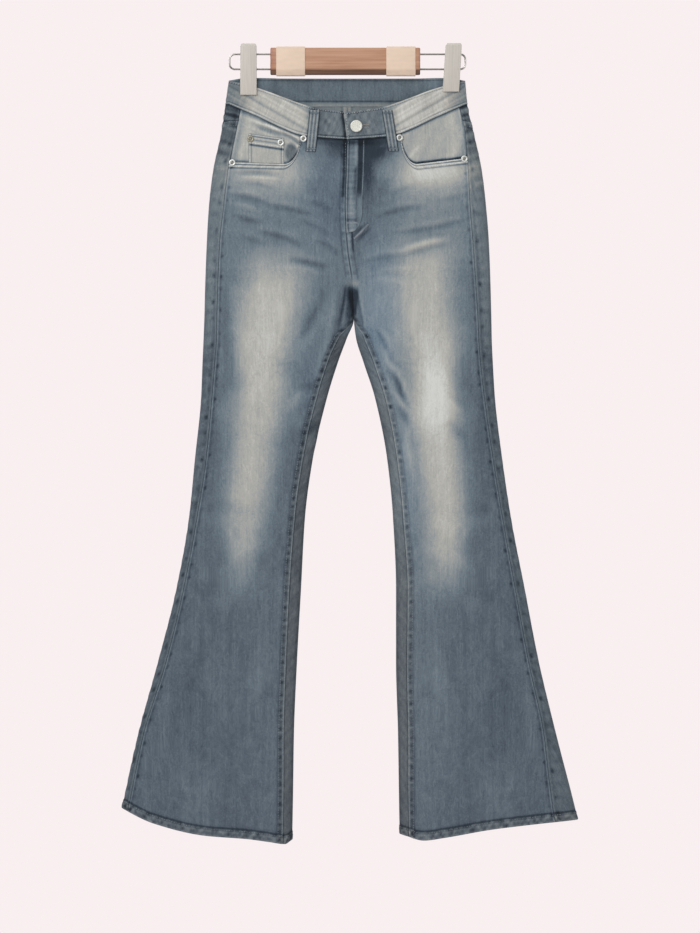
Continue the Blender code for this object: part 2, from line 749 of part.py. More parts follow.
BAR_ENDS = (-108.0, 101.8)
BAR_HALF_DEPTH = 8.0
BAR_HEIGHT = 37.8
BAR_CHAMFER = (4.0, 7.0)  # depth and height of the sloping lower edges
BAR_EASE = 1.5
SLEEVE_WALL = 1.2
SLEEVES = (("bar_sleeve_right", -99.8, -59.2), ("bar_sleeve_left", 54.2, 95.3))
WIRE_RADIUS = 1.3
WIRE_DROPS = (8.8, 29.8)
WIRE_HALF = 165.0
WIRE_CORNER = 7.0
CHANNEL_RADIUS = WIRE_RADIUS + GAP


def bar_outline(grow):
    """The bar's section in y and z, grown all round by a distance."""
    half = BAR_HALF_DEPTH + grow
    deep, high = BAR_CHAMFER
    low = -BAR_HEIGHT - grow
    right = [
        (half - BAR_EASE, grow),
        (half, grow - BAR_EASE),
        (half, -BAR_HEIGHT + high),
        (half - deep, low),
    ]
    return right + [(-y, z) for y, z in reversed(right)]


def extrude_x(name, outline, x_from, x_to, look, hole=None):
    """An outline in y and z drawn out along x, with a hole through it if one is given."""
    curve = bpy.data.curves.new(name, "CURVE")
    curve.dimensions = "2D"
    curve.fill_mode = "BOTH"
    curve.extrude = (x_to - x_from) * MM / 2
    for ring in (outline, hole):
        if ring is None:
            continue
        spline = curve.splines.new("POLY")
        spline.points.add(len(ring) - 1)
        for point, (y, z) in zip(spline.points, ring):
            point.co = (y * MM, z * MM, 0, 1)
        spline.use_cyclic_u = True
    source = bpy.data.objects.new(name, curve)
    bpy.context.scene.collection.objects.link(source)
    shaped = bpy.data.meshes.new_from_object(source.evaluated_get(bpy.context.evaluated_depsgraph_get()))
    bpy.data.objects.remove(source)
    bpy.data.curves.remove(curve)
    mesh = bmesh.new()
    mesh.from_mesh(shaped)
    bpy.data.meshes.remove(shaped)
    bmesh.ops.remove_doubles(mesh, verts=mesh.verts, dist=0.00001)
    for v in mesh.verts:  # curve x, y, z become the part's y, z, x
        v.co = (v.co.z + (x_from + x_to) * MM / 2, v.co.x, v.co.y)
    bmesh.ops.recalc_face_normals(mesh, faces=mesh.faces)
    data = bpy.data.meshes.new(name)
    mesh.to_mesh(data)
    mesh.free()
    return finish(name, data, look)


def hanger_bar():
    """The wooden bar, bored twice along its length for the wire."""
    bar = extrude_x("hanger_bar", bar_outline(0), BAR_ENDS[0], BAR_ENDS[1], WOOD)
    for i, drop in enumerate(WIRE_DROPS):
        bpy.ops.mesh.primitive_cylinder_add(
            vertices=12,
            radius=CHANNEL_RADIUS * MM,
            depth=(BAR_ENDS[1] - BAR_ENDS[0] + 20) * MM,
            location=(sum(BAR_ENDS) / 2 * MM, 0, -drop * MM),
            rotation=(0, math.pi / 2, 0),
        )
        cutter = bpy.context.object
        cutter.name = f"channel_cutter_{i}"
        for collection in list(cutter.users_collection):
            collection.objects.unlink(cutter)
        cutters.objects.link(cutter)
        cutter.hide_render = True
        cutter.display_type = "WIRE"
        cut = bar.modifiers.new("channel", "BOOLEAN")
        cut.operation = "DIFFERENCE"
        cut.object = cutter


def hanger_wire():
    """The closed wire loop: two straight runs and rounded ends."""
    upper, lower = -WIRE_DROPS[0], -WIRE_DROPS[1]
    corners = (
        (WIRE_HALF - WIRE_CORNER, upper - WIRE_CORNER, 90),
        (-WIRE_HALF + WIRE_CORNER, upper - WIRE_CORNER, 180),
        (-WIRE_HALF + WIRE_CORNER, lower + WIRE_CORNER, 270),
        (WIRE_HALF - WIRE_CORNER, lower + WIRE_CORNER, 360),
    )
    points = []
    for x, z, end in corners:
        for k in spread(5):
            angle = math.radians(end - 90 * (1 - k))
            points.append((x + WIRE_CORNER * math.cos(angle), z + WIRE_CORNER * math.sin(angle)))
    curve = bpy.data.curves.new("hanger_wire", "CURVE")
    curve.dimensions = "3D"
    curve.bevel_depth = WIRE_RADIUS * MM
    curve.bevel_resolution = 4
    spline = curve.splines.new("POLY")
    spline.points.add(len(points) - 1)
    for point, (x, z) in zip(spline.points, points):
        point.co = (x * MM, 0, z * MM, 1)
    spline.use_cyclic_u = True
    source = bpy.data.objects.new("hanger_wire_path", curve)
    bpy.context.scene.collection.objects.link(source)
    data = bpy.data.meshes.new_from_object(source.evaluated_get(bpy.context.evaluated_depsgraph_get()))
    bpy.data.objects.remove(source)
    finish("hanger_wire", data, STEEL)


def hanger_clip(clip):
    """One clip: two jaws joined over the wire, closed on the waistband."""
    roof = -(WIRE_DROPS[0] - WIRE_RADIUS - GAP)
    body, jaw = JAW_HALF + 4.6, JAW_HALF + JAW_WALL
    right = [
        (JAW_HALF, -clip.bottom),
        (jaw + 1.4, -clip.bottom),
        (body, -clip.bottom + 22),
        (body, -clip.top - 3),
        (body - 2.5, -clip.top),
    ]
    inside = [(4.6, roof), (4.6, -38.0), (JAW_HALF, -42.0)]
    outline = right + [(-y, z) for y, z in reversed(right)] + [(-y, z) for y, z in reversed(inside)]
    outline += inside
    obj = extrude_x(clip.name, outline, clip.x - CLIP_WIDTH / 2, clip.x + CLIP_WIDTH / 2, CLIP_GREY)
    for v in obj.data.vertices:
        v.co.x += clip.lean * (v.co.z + clip.bottom * MM) / (clip.bottom - clip.top)
    bevel = obj.modifiers.new("eased", "BEVEL")
    bevel.width = 0.8 * MM
    bevel.segments = 2
    bevel.limit_method = "ANGLE"
    bevel.angle_limit = math.radians(60)


hanger_bar()
for name, x_from, x_to in SLEEVES:
    extrude_x(name, bar_outline(GAP + SLEEVE_WALL), x_from, x_to, CREAM, hole=bar_outline(GAP))
hanger_wire()
for clip in CLIPS:
    hanger_clip(clip)
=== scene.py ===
# %% [markdown]
# # Flared jeans on a clip hanger
#
# This lesson dresses a rigid CAD model of a pair of jeans. The model already holds every cut piece
# as a plain walled solid at its real size. Here each piece of cloth is made again as a much finer
# shell on the same form, with its folds, roped seams, stitches and washed denim, and the hanger's
# wood, wire and clips get their finishes.
#
# The model is loaded first, because every new piece is placed by it.

import json
import math
from collections import namedtuple

import bpy
import numpy as np
from mathutils import Matrix, Vector

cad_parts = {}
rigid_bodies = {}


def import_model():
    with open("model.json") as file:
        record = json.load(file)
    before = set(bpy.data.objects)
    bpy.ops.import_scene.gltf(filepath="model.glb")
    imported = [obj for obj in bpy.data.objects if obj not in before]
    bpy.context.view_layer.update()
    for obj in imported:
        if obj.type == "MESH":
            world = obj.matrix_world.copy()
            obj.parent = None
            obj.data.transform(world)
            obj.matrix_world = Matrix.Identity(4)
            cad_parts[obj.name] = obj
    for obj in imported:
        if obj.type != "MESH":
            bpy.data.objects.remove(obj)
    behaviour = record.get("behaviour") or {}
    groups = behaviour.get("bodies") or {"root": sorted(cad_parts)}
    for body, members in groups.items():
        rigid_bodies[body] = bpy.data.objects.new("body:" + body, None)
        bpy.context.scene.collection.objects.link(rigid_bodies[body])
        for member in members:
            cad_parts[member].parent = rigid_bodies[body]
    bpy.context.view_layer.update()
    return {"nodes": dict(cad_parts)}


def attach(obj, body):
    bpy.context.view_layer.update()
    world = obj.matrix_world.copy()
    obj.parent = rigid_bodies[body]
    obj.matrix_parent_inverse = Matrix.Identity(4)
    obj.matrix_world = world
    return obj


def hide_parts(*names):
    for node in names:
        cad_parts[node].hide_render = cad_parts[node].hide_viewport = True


for old in list(bpy.data.objects):
    bpy.data.objects.remove(old)
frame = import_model()

print("CAD nodes:", len(frame["nodes"]))

# %% [markdown]
# ## The camera, the light and the room
#
# The camera stands straight in front with a long lens, level with the middle of the picture, so
# that the cloth keeps its true outline. Soft studio light is a few large area lamps round the
# object: a stronger one above on the left gives the folds their shade, and the others fill in.
# The floor is a wide pale disc below the hems, and the room behind is the same pale colour.

# %% Camera
MM = 0.001
PICTURE_HEIGHT = 1.3062  # how much of the world the picture shows, in metres
PICTURE_MIDDLE = (0.0035, -0.5859)  # x and z at the middle of the picture
LENS, SENSOR = 220.0, 36.0

camera_data = bpy.data.cameras.new("camera")
camera_data.lens = LENS
camera_data.sensor_width = SENSOR
camera_distance = PICTURE_HEIGHT * LENS / SENSOR
camera = bpy.data.objects.new("camera", camera_data)
camera.location = (PICTURE_MIDDLE[0], -camera_distance, PICTURE_MIDDLE[1])
camera.rotation_euler = (math.pi / 2, 0, 0)
bpy.context.scene.collection.objects.link(camera)
bpy.context.scene.camera = camera
bpy.context.scene.view_settings.view_transform = "Standard"
print("camera distance in m:", round(camera_distance, 2))

# %% Lamps
Lamp = namedtuple("Lamp", "name x y z size watts")
LAMPS = [
    Lamp("key_lamp", -1.5, -2.4, 1.1, 1.6, 50),
    Lamp("fill_lamp", 1.9, -2.6, -0.3, 2.2, 18),
    Lamp("back_left_lamp", -1.6, 2.4, 0.8, 1.8, 36),
    Lamp("back_right_lamp", 1.8, 2.4, 0.2, 2.0, 22),
    Lamp("top_lamp", 0.0, 0.1, 2.2, 2.0, 14),
]
AIM = Vector((0, 0, -0.55))
for row in LAMPS:
    data = bpy.data.lights.new(row.name, "AREA")
    data.size = row.size
    data.energy = row.watts
    lamp = bpy.data.objects.new(row.name, data)
    lamp.location = (row.x, row.y, row.z)
    lamp.rotation_euler = (AIM - lamp.location).to_track_quat("-Z", "Y").to_euler()
    bpy.context.scene.collection.objects.link(lamp)

# %% The pale room
ROOM = (0.947, 0.863, 0.871)  # a warm, pinkish white
FLOOR_DROP = 1.62
ROOM_LIGHT = 0.46  # how brightly the room lights the cloth, where 1 is as bright as it looks

world = bpy.data.worlds.new("pale_room")
bpy.context.scene.world = world
world.use_nodes = True
tree = world.node_tree
tree.nodes.clear()
seen = tree.nodes.new("ShaderNodeBackground")
seen.inputs["Color"].default_value = (*ROOM, 1)
lit = tree.nodes.new("ShaderNodeBackground")
lit.inputs["Color"].default_value = (0.93, 0.92, 0.93, 1)
lit.inputs["Strength"].default_value = ROOM_LIGHT
ray = tree.nodes.new("ShaderNodeLightPath")
pick = tree.nodes.new("ShaderNodeMixShader")
output = tree.nodes.new("ShaderNodeOutputWorld")
tree.links.new(ray.outputs["Is Camera Ray"], pick.inputs["Fac"])
tree.links.new(lit.outputs["Background"], pick.inputs[1])
tree.links.new(seen.outputs["Background"], pick.inputs[2])
tree.links.new(pick.outputs["Shader"], output.inputs["Surface"])

bpy.ops.object.select_all(action="DESELECT")
bpy.ops.mesh.primitive_circle_add(vertices=96, radius=1.5, fill_type="NGON", location=(0, 0, -FLOOR_DROP))
floor = bpy.context.object
floor.name = "floor"
floor_material = bpy.data.materials.new("pale_floor")
floor_material.use_nodes = True
floor_shader = floor_material.node_tree.nodes["Principled BSDF"]
floor_shader.inputs["Base Color"].default_value = (*ROOM, 1)
floor_shader.inputs["Roughness"].default_value = 0.9
floor.data.materials.append(floor_material)

# %% [markdown]
# ## The form of the garment
#
# All the cloth lies on one hollow surface. Each half of it (wearer's right at -X, left at +X) is
# described by sections: for a drop below the bar's top, where the outer folds, the side seams and
# the inner folds lie, and how far the front and the back stand out. A point has a `turn`, which
# runs 0 to 1 across the front and 1 to 2 back across the rear, and a `drop`. The sizes below are
# the CAD model's own. They are read through smooth curves, and the functions take whole arrays,
# so that a fine grid of tens of thousands of points is worked out at once.

# %% Sections
GAP = 0.3
EDGE = 0.02  # a shell's share of the hairline between two pieces
CLOTH = 1.4
BAND_OUT = 0.5
BAND_WALL = 2.4
HEM_HEIGHT = 12.0
HEM_OUT = 0.7
CROTCH_TOP, CROTCH_BOTTOM = 322.0, 380.0
JOIN = 205.0  # below this the rows of cloth run level
FLARE_START = 928.0  # below this they lean over to the slanting hem
HALVES = {-1: "right", 1: "left"}  # the sign of x, and the wearer's side


def table(kind, rows):
    """A list of named rows from rows of bare values."""
    return [kind(*row) for row in rows]


Level = namedtuple(
    "Level",
    "drop right_edge right_seam right_inner left_inner left_seam left_edge inset front back"
    " crown_front crown_back",
)
LEVELS = table(Level, (
    (38, -165, -150, -0.7, -0.7, 146, 164, 0, 6, 6, 7, 7),
    (80, -171, -150, -0.7, -0.7, 156, 168, 0, 7, 8, 6, 8),
    (120, -177, -156.5, -0.4, -0.4, 164.5, 177, 0, 9, 11, 5, 9),
    (171, -188, -167, -1.3, -1.3, 169, 188, 0, 10, 13, 5, 11),
    (221, -194, -173, -2.9, -2.9, 171.5, 194, 0, 11, 14, 4, 12),
    (272, -197, -178.5, -0.7, -0.7, 175.5, 198, 0, 11, 14, 3, 9),
    (339, -199.5, -181.5, 7.7, 7.7, 180, 200.5, 0, 11, 13, 1, 4),
    (380, -200.5, -182.5, 8.9, 8.9, 182.5, 201.5, 0, 11, 12, 1, 2),
    (406, -201.5, -183, -0.7, 11.9, 183.5, 202, 11, 11, 12, 1, 1),
    (440, -203, -185.5, -13.3, 22.4, 186, 203.5, 14, 11, 12, 1, 1),
    (490, -205, -189.5, -28.7, 38.5, 191.5, 206.5, 14, 11, 11, 1, 1),
    (574, -213.5, -197.5, -48.3, 55.3, 203.5, 216.5, 13.5, 10, 10, 1, 1),
    (658, -222, -210.5, -59.5, 63.7, 217, 229, 14, 9, 10, 1, 1),
    (759, -240, -229.5, -65.1, 67.9, 235, 248.5, 16, 9, 9, 1, 1),
    (860, -265.5, -254, -70.7, 67.9, 253.5, 268, 15, 9, 9, 1, 1),
    (960, -293, -285, -74.9, 70.7, 275, 292, 14, 10, 10, 2, 2),
    (1053, -313.5, -304.5, -76.3, 72.1, 287.5, 316, 13, 11, 11, 3, 3),
    (1125, -328, -318, -77.7, 73.5, 297, 333, 13, 11, 11, 3, 3),
))

Hem = namedtuple("Hem", "share right left")
HEMS = table(Hem, (
    (0.0, 1108, 1100),
    (0.04, 1114, 1103),
    (0.13, 1111, 1109),
    (0.25, 1107, 1105),
    (0.5, 1102, 1094),
    (0.8, 1085, 1085),
    (1.0, 1064, 1080),
))

Waist = namedtuple("Waist", "x top bottom")
WAISTS = table(Waist, (
    (0, 90.3, 129.5),
    (52, 82.5, 125.5),
    (71, 76.5, 121.3),
    (92, 68.6, 113.0),
    (127, 55.6, 95.8),
    (166, 45.5, 79.8),
))
BACK_BAND_TOP, BACK_BAND_BOTTOM = 42.0, 81.0

Yoke = namedtuple("Yoke", "turn drop")
YOKES = table(Yoke, ((0.86, 102.0), (1.0, 105.0), (1.4, 122.0), (2.0, 146.0)))

Scoop = namedtuple("Scoop", "start corner corner_drop side_drop")
SCOOPS = {-1: Scoop(-65.8, -88.0, 163.1, 160.6), 1: Scoop(74.8, 97.0, 163.2, 154.8)}
BAND_CLEAR = GAP + 0.3
SCOOP_TUCK = 12.0

Fold = namedtuple("Fold", "half face turn_a drop_a turn_b drop_b reach height")
FOLDS = table(Fold, (
    (-1, -1, 0.30, 400, 0.42, 640, 24, 2.2),
    (-1, -1, 0.72, 560, 0.62, 1040, 30, 2.4),
    (-1, -1, 0.30, 700, 0.24, 1110, 26, -2.2),
    (-1, -1, 0.16, 300, 0.62, 250, 18, 1.6),
    (1, -1, 0.34, 360, 0.30, 600, 22, 2.2),
    (1, -1, 0.70, 640, 0.66, 1100, 30, 2.6),
    (1, -1, 0.34, 760, 0.30, 1110, 26, -2.2),
    (1, -1, 0.14, 310, 0.60, 262, 18, 1.6),
    (-1, 1, 1.70, 300, 1.30, 380, 22, 3.0),
    (-1, 1, 1.62, 420, 1.50, 760, 30, -2.4),
    (-1, 1, 1.34, 700, 1.40, 1100, 30, 2.6),
    (1, 1, 1.72, 306, 1.32, 372, 22, 3.0),
    (1, 1, 1.60, 440, 1.52, 720, 30, -2.4),
    (1, 1, 1.36, 660, 1.42, 1090, 30, 2.6),
))

Clip = namedtuple("Clip", "name x top bottom lean")
CLIPS = (Clip("clip_right", -138.6, -6.0, 66.0, 0.0), Clip("clip_left", 144.6, -6.5, 61.5, 4.2))
CLIP_WIDTH = 23.0
PINCH_HALF = 2.2  # half the depth that the jaws leave to the cloth

# %% Smooth curves


def smooth(xs, ys):
    """A table as a smooth curve that never overshoots its rows, for numbers or arrays."""
    xs, ys = np.array(xs, float), np.array(ys, float)
    slopes = np.diff(ys) / np.diff(xs)
    tangents = np.zeros_like(xs)
    both = slopes[:-1] * slopes[1:]
    tangents[1:-1] = np.where(both > 0, 2 * both / (slopes[:-1] + slopes[1:] + 1e-12 * (both <= 0)), 0)
    tangents[0], tangents[-1] = slopes[0], slopes[-1]

    def value(x):
        x = np.clip(x, xs[0], xs[-1])
        i = np.minimum(np.searchsorted(xs, x, side="right") - 1, len(xs) - 2)
        span = xs[i + 1] - xs[i]
        t = (x - xs[i]) / span
        return (
            ys[i] * (1 + 2 * t) * (1 - t) ** 2
            + tangents[i] * span * t * (1 - t) ** 2
            + ys[i + 1] * t * t * (3 - 2 * t)
            + tangents[i + 1] * span * t * t * (t - 1)
        )

    return value


def column(rows, key, name):
    """The named column of a table as a smooth curve over its key column."""
    return smooth([getattr(r, key) for r in rows], [getattr(r, name) for r in rows])


def step(t):
    """Eases from 0 to 1 as t does."""
    t = np.clip(t, 0, 1)
    return t * t * (3 - 2 * t)


LEVEL = {name: column(LEVELS, "drop", name) for name in Level._fields[1:]}
HEM = {-1: column(HEMS, "share", "right"), 1: column(HEMS, "share", "left")}
WAIST_TOP = column(WAISTS, "x", "top")
WAIST_BOTTOM = column(WAISTS, "x", "bottom")
YOKE = column(YOKES, "turn", "drop")

# %% The hollow surface


def by_half(half, name, drop):
    """A left or right column of the sections, for the half that each point is on."""
    return np.where(half < 0, LEVEL["right_" + name](drop), LEVEL["left_" + name](drop))


def inner_x(half, drop):
    return by_half(half, "inner", drop)


def outer_x(half, drop):
    return by_half(half, "edge", drop)


def seam_x(half, drop):
    return by_half(half, "seam", drop)


def all_round(turn):
    """A turn brought back within 0 to 2."""
    return np.where(turn > 2, turn - 2, np.where(turn < 0, turn + 2, turn))


def share_of(turn):
    """How far across its half a turn lies, 0 at the inner edge and 1 at the outer fold."""
    return (1 - np.cos(np.pi * turn)) / 2


def turn_at(half, x, drop):
    """The turn on the front face that lies at x."""
    inner, outer = inner_x(half, drop), outer_x(half, drop)
    return np.arccos(1 - 2 * np.clip((x - inner) / (outer - inner), 0, 1)) / np.pi


def opening_at_centre(drop):
    """1 where front and back run on into the other half, 0 where the leg is a closed tube."""
    q = (drop - CROTCH_TOP) / (CROTCH_BOTTOM - CROTCH_TOP)
    return np.sqrt(1 - np.clip(q, 0, 1) ** 2)


def fold_height(half, face, share, drop, width):
    """The largest folds' height: each a soft ridge or hollow that fades out at its ends."""
    height = np.zeros_like(share)
    for f in FOLDS:
        ax, ay = share_of(f.turn_a) * width, f.drop_a
        bx, by = share_of(f.turn_b) * width, f.drop_b
        px, py = share * width - ax, drop - ay
        length = np.hypot(bx - ax, by - ay)
        along = (px * (bx - ax) + py * (by - ay)) / length**2
        across = (px * (by - ay) - py * (bx - ax)) / length
        fade = np.sin(np.pi * np.clip(along, 0, 1)) ** 0.7
        here = (half == f.half) & (face == f.face)
        height += np.where(here, f.height * fade * np.exp(-((across / f.reach) ** 2)), 0)
    return height


def pinch(x, drop):
    """1 where a clip presses front and back together, 0 clear of it."""
    strength = np.zeros_like(x)
    for clip in CLIPS:
        beside = 1 - (np.abs(x - clip.x) - CLIP_WIDTH / 2 - 4.5) / 30
        below = 1 - (drop - clip.bottom - 8) / 75
        strength = np.maximum(strength, step(beside) * step(below))
    return strength


def surface(half, turn, drop):
    """Points of the garment's outer surface, in millimetres."""
    half, turn, drop = (np.asarray(a, float) for a in np.broadcast_arrays(half, turn, drop))
    turn = all_round(turn)
    face = np.where(turn <= 1, -1, 1)
    inner, outer = inner_x(half, drop), outer_x(half, drop)
    width = np.abs(outer - inner)
    share = share_of(turn)
    x = inner + (outer - inner) * share

    outer_run = np.minimum((1 - share) * width / (8 + 20 * step((drop - 60) / 130)), 1)
    inner_run = np.minimum(share * width / (6 + 22 * step((drop - CROTCH_TOP) / 60)), 1)
    outer_fall = np.sqrt(1 - (1 - outer_run) ** 2)
    inner_fall = np.sqrt(1 - (1 - inner_run) ** 2)
    hold = opening_at_centre(drop)

    body = 1 - step((drop - 280) / 90)
    crown = body * (1 - share**2) + (1 - body) * 4 * share * (1 - share)
    depth = np.where(
        face < 0,
        LEVEL["front"](drop) + LEVEL["crown_front"](drop) * crown,
        LEVEL["back"](drop) + LEVEL["crown_back"](drop) * crown,
    )
    depth = depth + fold_height(half, face, share, drop, width)
    pressed = pinch(x, drop)
    depth = (1 - pressed) * depth + pressed * PINCH_HALF
    y = face * depth * outer_fall * (hold + (1 - hold) * inner_fall)
    return np.stack([x, y, -drop], axis=-1)


def front_place(x, drop):
    """The half and the turn of points on the front, wherever the centre seam runs."""
    half = np.where(x < LEVEL["left_inner"](drop), -1, 1)
    return half, turn_at(half, x, drop)


def inseam_turn(half, drop):
    """Where the inseam lies: on the inner fold at the crotch, then round on the front."""
    width = np.abs(outer_x(half, drop) - inner_x(half, drop))
    inset = np.where(drop > CROTCH_BOTTOM, LEVEL["inset"](drop), 0.0)
    return np.arccos(1 - 2 * inset / width) / np.pi


def hem_drop(half, turn):
    return HEM[half](share_of(turn))


def band_edge(half, turn, front, back):
    """The drop of one edge of the waistband: a curve over x in front, level behind."""
    drop = np.full(np.broadcast(half, turn).shape, float(back))
    for _ in range(4):
        x = inner_x(half, drop) + (outer_x(half, drop) - inner_x(half, drop)) * share_of(turn)
        drop = front(np.abs(x))
    return np.where(turn <= 1, drop, back + (drop - back) * (1 - step((turn - 1) / 0.25)))


def band_edges(half, turn):
    return (
        band_edge(half, turn, WAIST_TOP, BACK_BAND_TOP),
        band_edge(half, turn, WAIST_BOTTOM, BACK_BAND_BOTTOM),
    )


sample = surface(np.array([-1, 1]), np.array([0.5, 1.5]), np.array([600.0, 600.0]))
print("two points of the legs in mm:", sample.round(1).tolist())

# %% [markdown]
# ## A fine grid of cloth
#
# A rigid panel needs a dozen columns. Cloth that shows its folds needs a row and a column every two
# or three millimetres. `Cloth` holds such a grid: where each point lies, which way is out, how far
# it is from the panel's four edges, how far the cloth stands out there (`out`), how thick it is
# (`wall`), how pale it is (`wear`, 0 raw to 1 nearly white: worn dye, with painted shade
# darker in seams, grooves and hollows and painted light on some crests) and how drab (`drab`,
# above 0 browner, below 0 bluer). Later cells add to these tables, and `build` turns them into one
# closed shell with an outer and an inner skin.

# %% Normals and lengths on the surface
NUDGE = 0.02


def normal(half, turn, drop):
    """The outward directions of the surface, measured between neighbours."""
    turn = all_round(turn)
    open_here = opening_at_centre(drop) > 0.02
    first, last = open_here & (turn < NUDGE), open_here & (turn > 2 - NUDGE)
    before = np.where(first, 0.002, np.where(last, 1.92, turn - NUDGE))
    after = np.where(first, 0.08, np.where(last, 1.998, turn + NUDGE))
    across = surface(half, after, drop) - surface(half, before, drop)
    down = surface(half, turn, drop + 2) - surface(half, turn, drop - 2)
    out = -np.asarray(half, float)[..., None] * np.cross(across, down)
    return out / np.linalg.norm(out, axis=-1, keepdims=True)


def lengths(points, axis):
    """Distances run along the rows or down the columns of a grid of points."""
    steps = np.linalg.norm(np.diff(points, axis=axis), axis=-1)
    start = np.zeros_like(np.take(steps, [0], axis=axis))
    return np.concatenate([start, np.cumsum(steps, axis=axis)], axis=axis)


def waver(t, pitch, seed):
    """An uneven wave between about -1 and 1, its bumps roughly a pitch apart."""
    a = 2 * np.pi * t / pitch
    return 0.5 * np.sin(a + seed) + 0.3 * np.sin(0.62 * a + 2.1 * seed) + 0.2 * np.sin(1.73 * a + seed / 2)


def mesh_from(name, points, quads):
    """A mesh from arrays of points in metres and four-cornered faces."""
    data = bpy.data.meshes.new(name)
    data.vertices.add(len(points))
    data.vertices.foreach_set("co", np.asarray(points, np.float32).ravel())
    data.loops.add(quads.size)
    data.loops.foreach_set("vertex_index", quads.astype(np.int32).ravel())
    data.polygons.add(len(quads))
    data.polygons.foreach_set("loop_start", np.arange(0, quads.size, 4, dtype=np.int32))
    data.update(calc_edges=True)
    return data


def declare(obj, slot, *replaced):
    """Puts a piece on the root body and hides the CAD nodes that it takes over; its slot is not used."""
    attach(obj, "root")
    if replaced:
        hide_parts(*replaced)
    return obj


def place(name, data, slot, *replaced):
    obj = bpy.data.objects.new(name, data)
    bpy.context.scene.collection.objects.link(obj)
    return declare(obj, slot, *replaced)


# %% The cloth grid


def line_at(distance, runs, grids, allowed):
    """Points and normals at a distance along each allowed row of a grid that is long enough."""
    kept = np.flatnonzero(allowed & (runs[:, -1] > distance))
    return tuple(
        np.array([[np.interp(distance, runs[i], grid[i, :, k]) for k in range(3)] for i in kept])
        for grid in grids
    )


class Cloth:
    """A fine grid on the garment's surface, with rows from the top edge down."""

    def __init__(self, half, turn, drop, out=0.0, wall=CLOTH):
        half, turn, drop = (np.array(a, float) for a in np.broadcast_arrays(half, turn, drop))
        self.half, self.turn, self.drop = half, turn, drop
        self.base, self.normal = surface(half, turn, drop), normal(half, turn, drop)
        self.x = self.base[..., 0]
        wrapped = np.where(turn > 2, turn - 2, turn)
        self.face = np.where(wrapped <= 1, -1, 1)
        run, fall = lengths(self.base, 1), lengths(self.base, 0)
        self.from_first, self.from_last = run, run[:, -1:] - run
        self.from_top, self.from_end = fall, fall[-1:] - fall
        self.out, self.wall = np.zeros_like(turn) + out, np.zeros_like(turn) + wall
        self.wear, self.wear_inside = np.full_like(turn, 0.21), np.full_like(turn, 0.5)
        self.drab = np.zeros_like(turn)

    def points(self, lift=0.0):
        return self.base + self.normal * (self.out + lift)[..., None]

    def build(self, name, slot="denim"):
        """The closed shell: outer skin, inner skin and the rim that joins them."""
        rows, columns = self.turn.shape
        count = rows * columns
        inner = self.points(-self.wall)
        points = np.concatenate([self.points().reshape(-1, 3), inner.reshape(-1, 3)]) * MM
        index = np.arange(count).reshape(rows, columns)
        a, b, c, d = index[:-1, :-1], index[:-1, 1:], index[1:, 1:], index[1:, :-1]
        outer = np.stack([a, b, c, d], axis=-1).reshape(-1, 4)
        rim = np.concatenate([index[0, :-1], index[:-1, -1], index[-1, :0:-1], index[:0:-1, 0]])
        after = np.roll(rim, -1)
        edge = np.stack([rim, rim + count, after + count, after], axis=-1)
        i, j = rows // 2, columns // 2
        sense = np.cross(self.base[i, j + 1] - self.base[i, j], self.base[i + 1, j] - self.base[i, j])
        if sense @ self.normal[i, j] < 0:
            outer, edge = outer[:, ::-1], edge[:, ::-1]
        data = mesh_from(name, points, np.concatenate([outer, outer[:, ::-1] + count, edge]))
        data.materials.append(DENIM)
        wear = np.clip(np.concatenate([self.wear.ravel(), self.wear_inside.ravel()]), DEEPEST_PAINTED_SHADE, 1)
        for key, value in (("wear", wear), ("drab", np.tile(self.drab.ravel(), 2))):
            painted = data.attributes.new(key, "FLOAT", "POINT")
            painted.data.foreach_set("value", value.astype(np.float32))
        along = self.x[:, j] * np.sign(self.x[:, j + 1] - self.x[:, j])
        run = self.from_first + (along - self.from_first[:, j])[:, None]
        grain = np.stack([run, -self.drop], axis=-1)
        grain = np.tile(grain.reshape(-1, 2), (2, 1)) * MM
        corners = np.empty(len(data.loops), np.int32)
        data.loops.foreach_get("vertex_index", corners)
        data.uv_layers.new(name="grain").data.foreach_set("uv", grain[corners].astype(np.float32).ravel())
        data.shade_smooth()
        data.set_sharp_from_angle(angle=math.radians(60))
        return place(name + "_cloth", data, slot, name)

    def down_line(self, distance, last=False, top=0.0, end=0.0):
        """Points and normals of a line that runs down the panel at a distance from its first or
        last edge, from `top` below the upper edge to `end` above the lower one."""
        runs = self.from_last[:, ::-1] if last else self.from_first
        grids = [g[:, ::-1] if last else g for g in (self.points(), self.normal)]
        allowed = (self.from_top[:, 0] >= top) & (self.from_end[:, 0] >= end)
        return line_at(distance, runs, grids, allowed)

    def cross_line(self, distance, end=False, first=0.0, last=0.0):
        """The same for a line across the panel, at a distance below its top or above its end."""
        falls = self.from_end[::-1] if end else self.from_top
        grids = [(g[::-1] if end else g).swapaxes(0, 1) for g in (self.points(), self.normal)]
        allowed = (self.from_first[0] >= first) & (self.from_last[0] >= last)
        return line_at(distance, falls.T, grids, allowed)
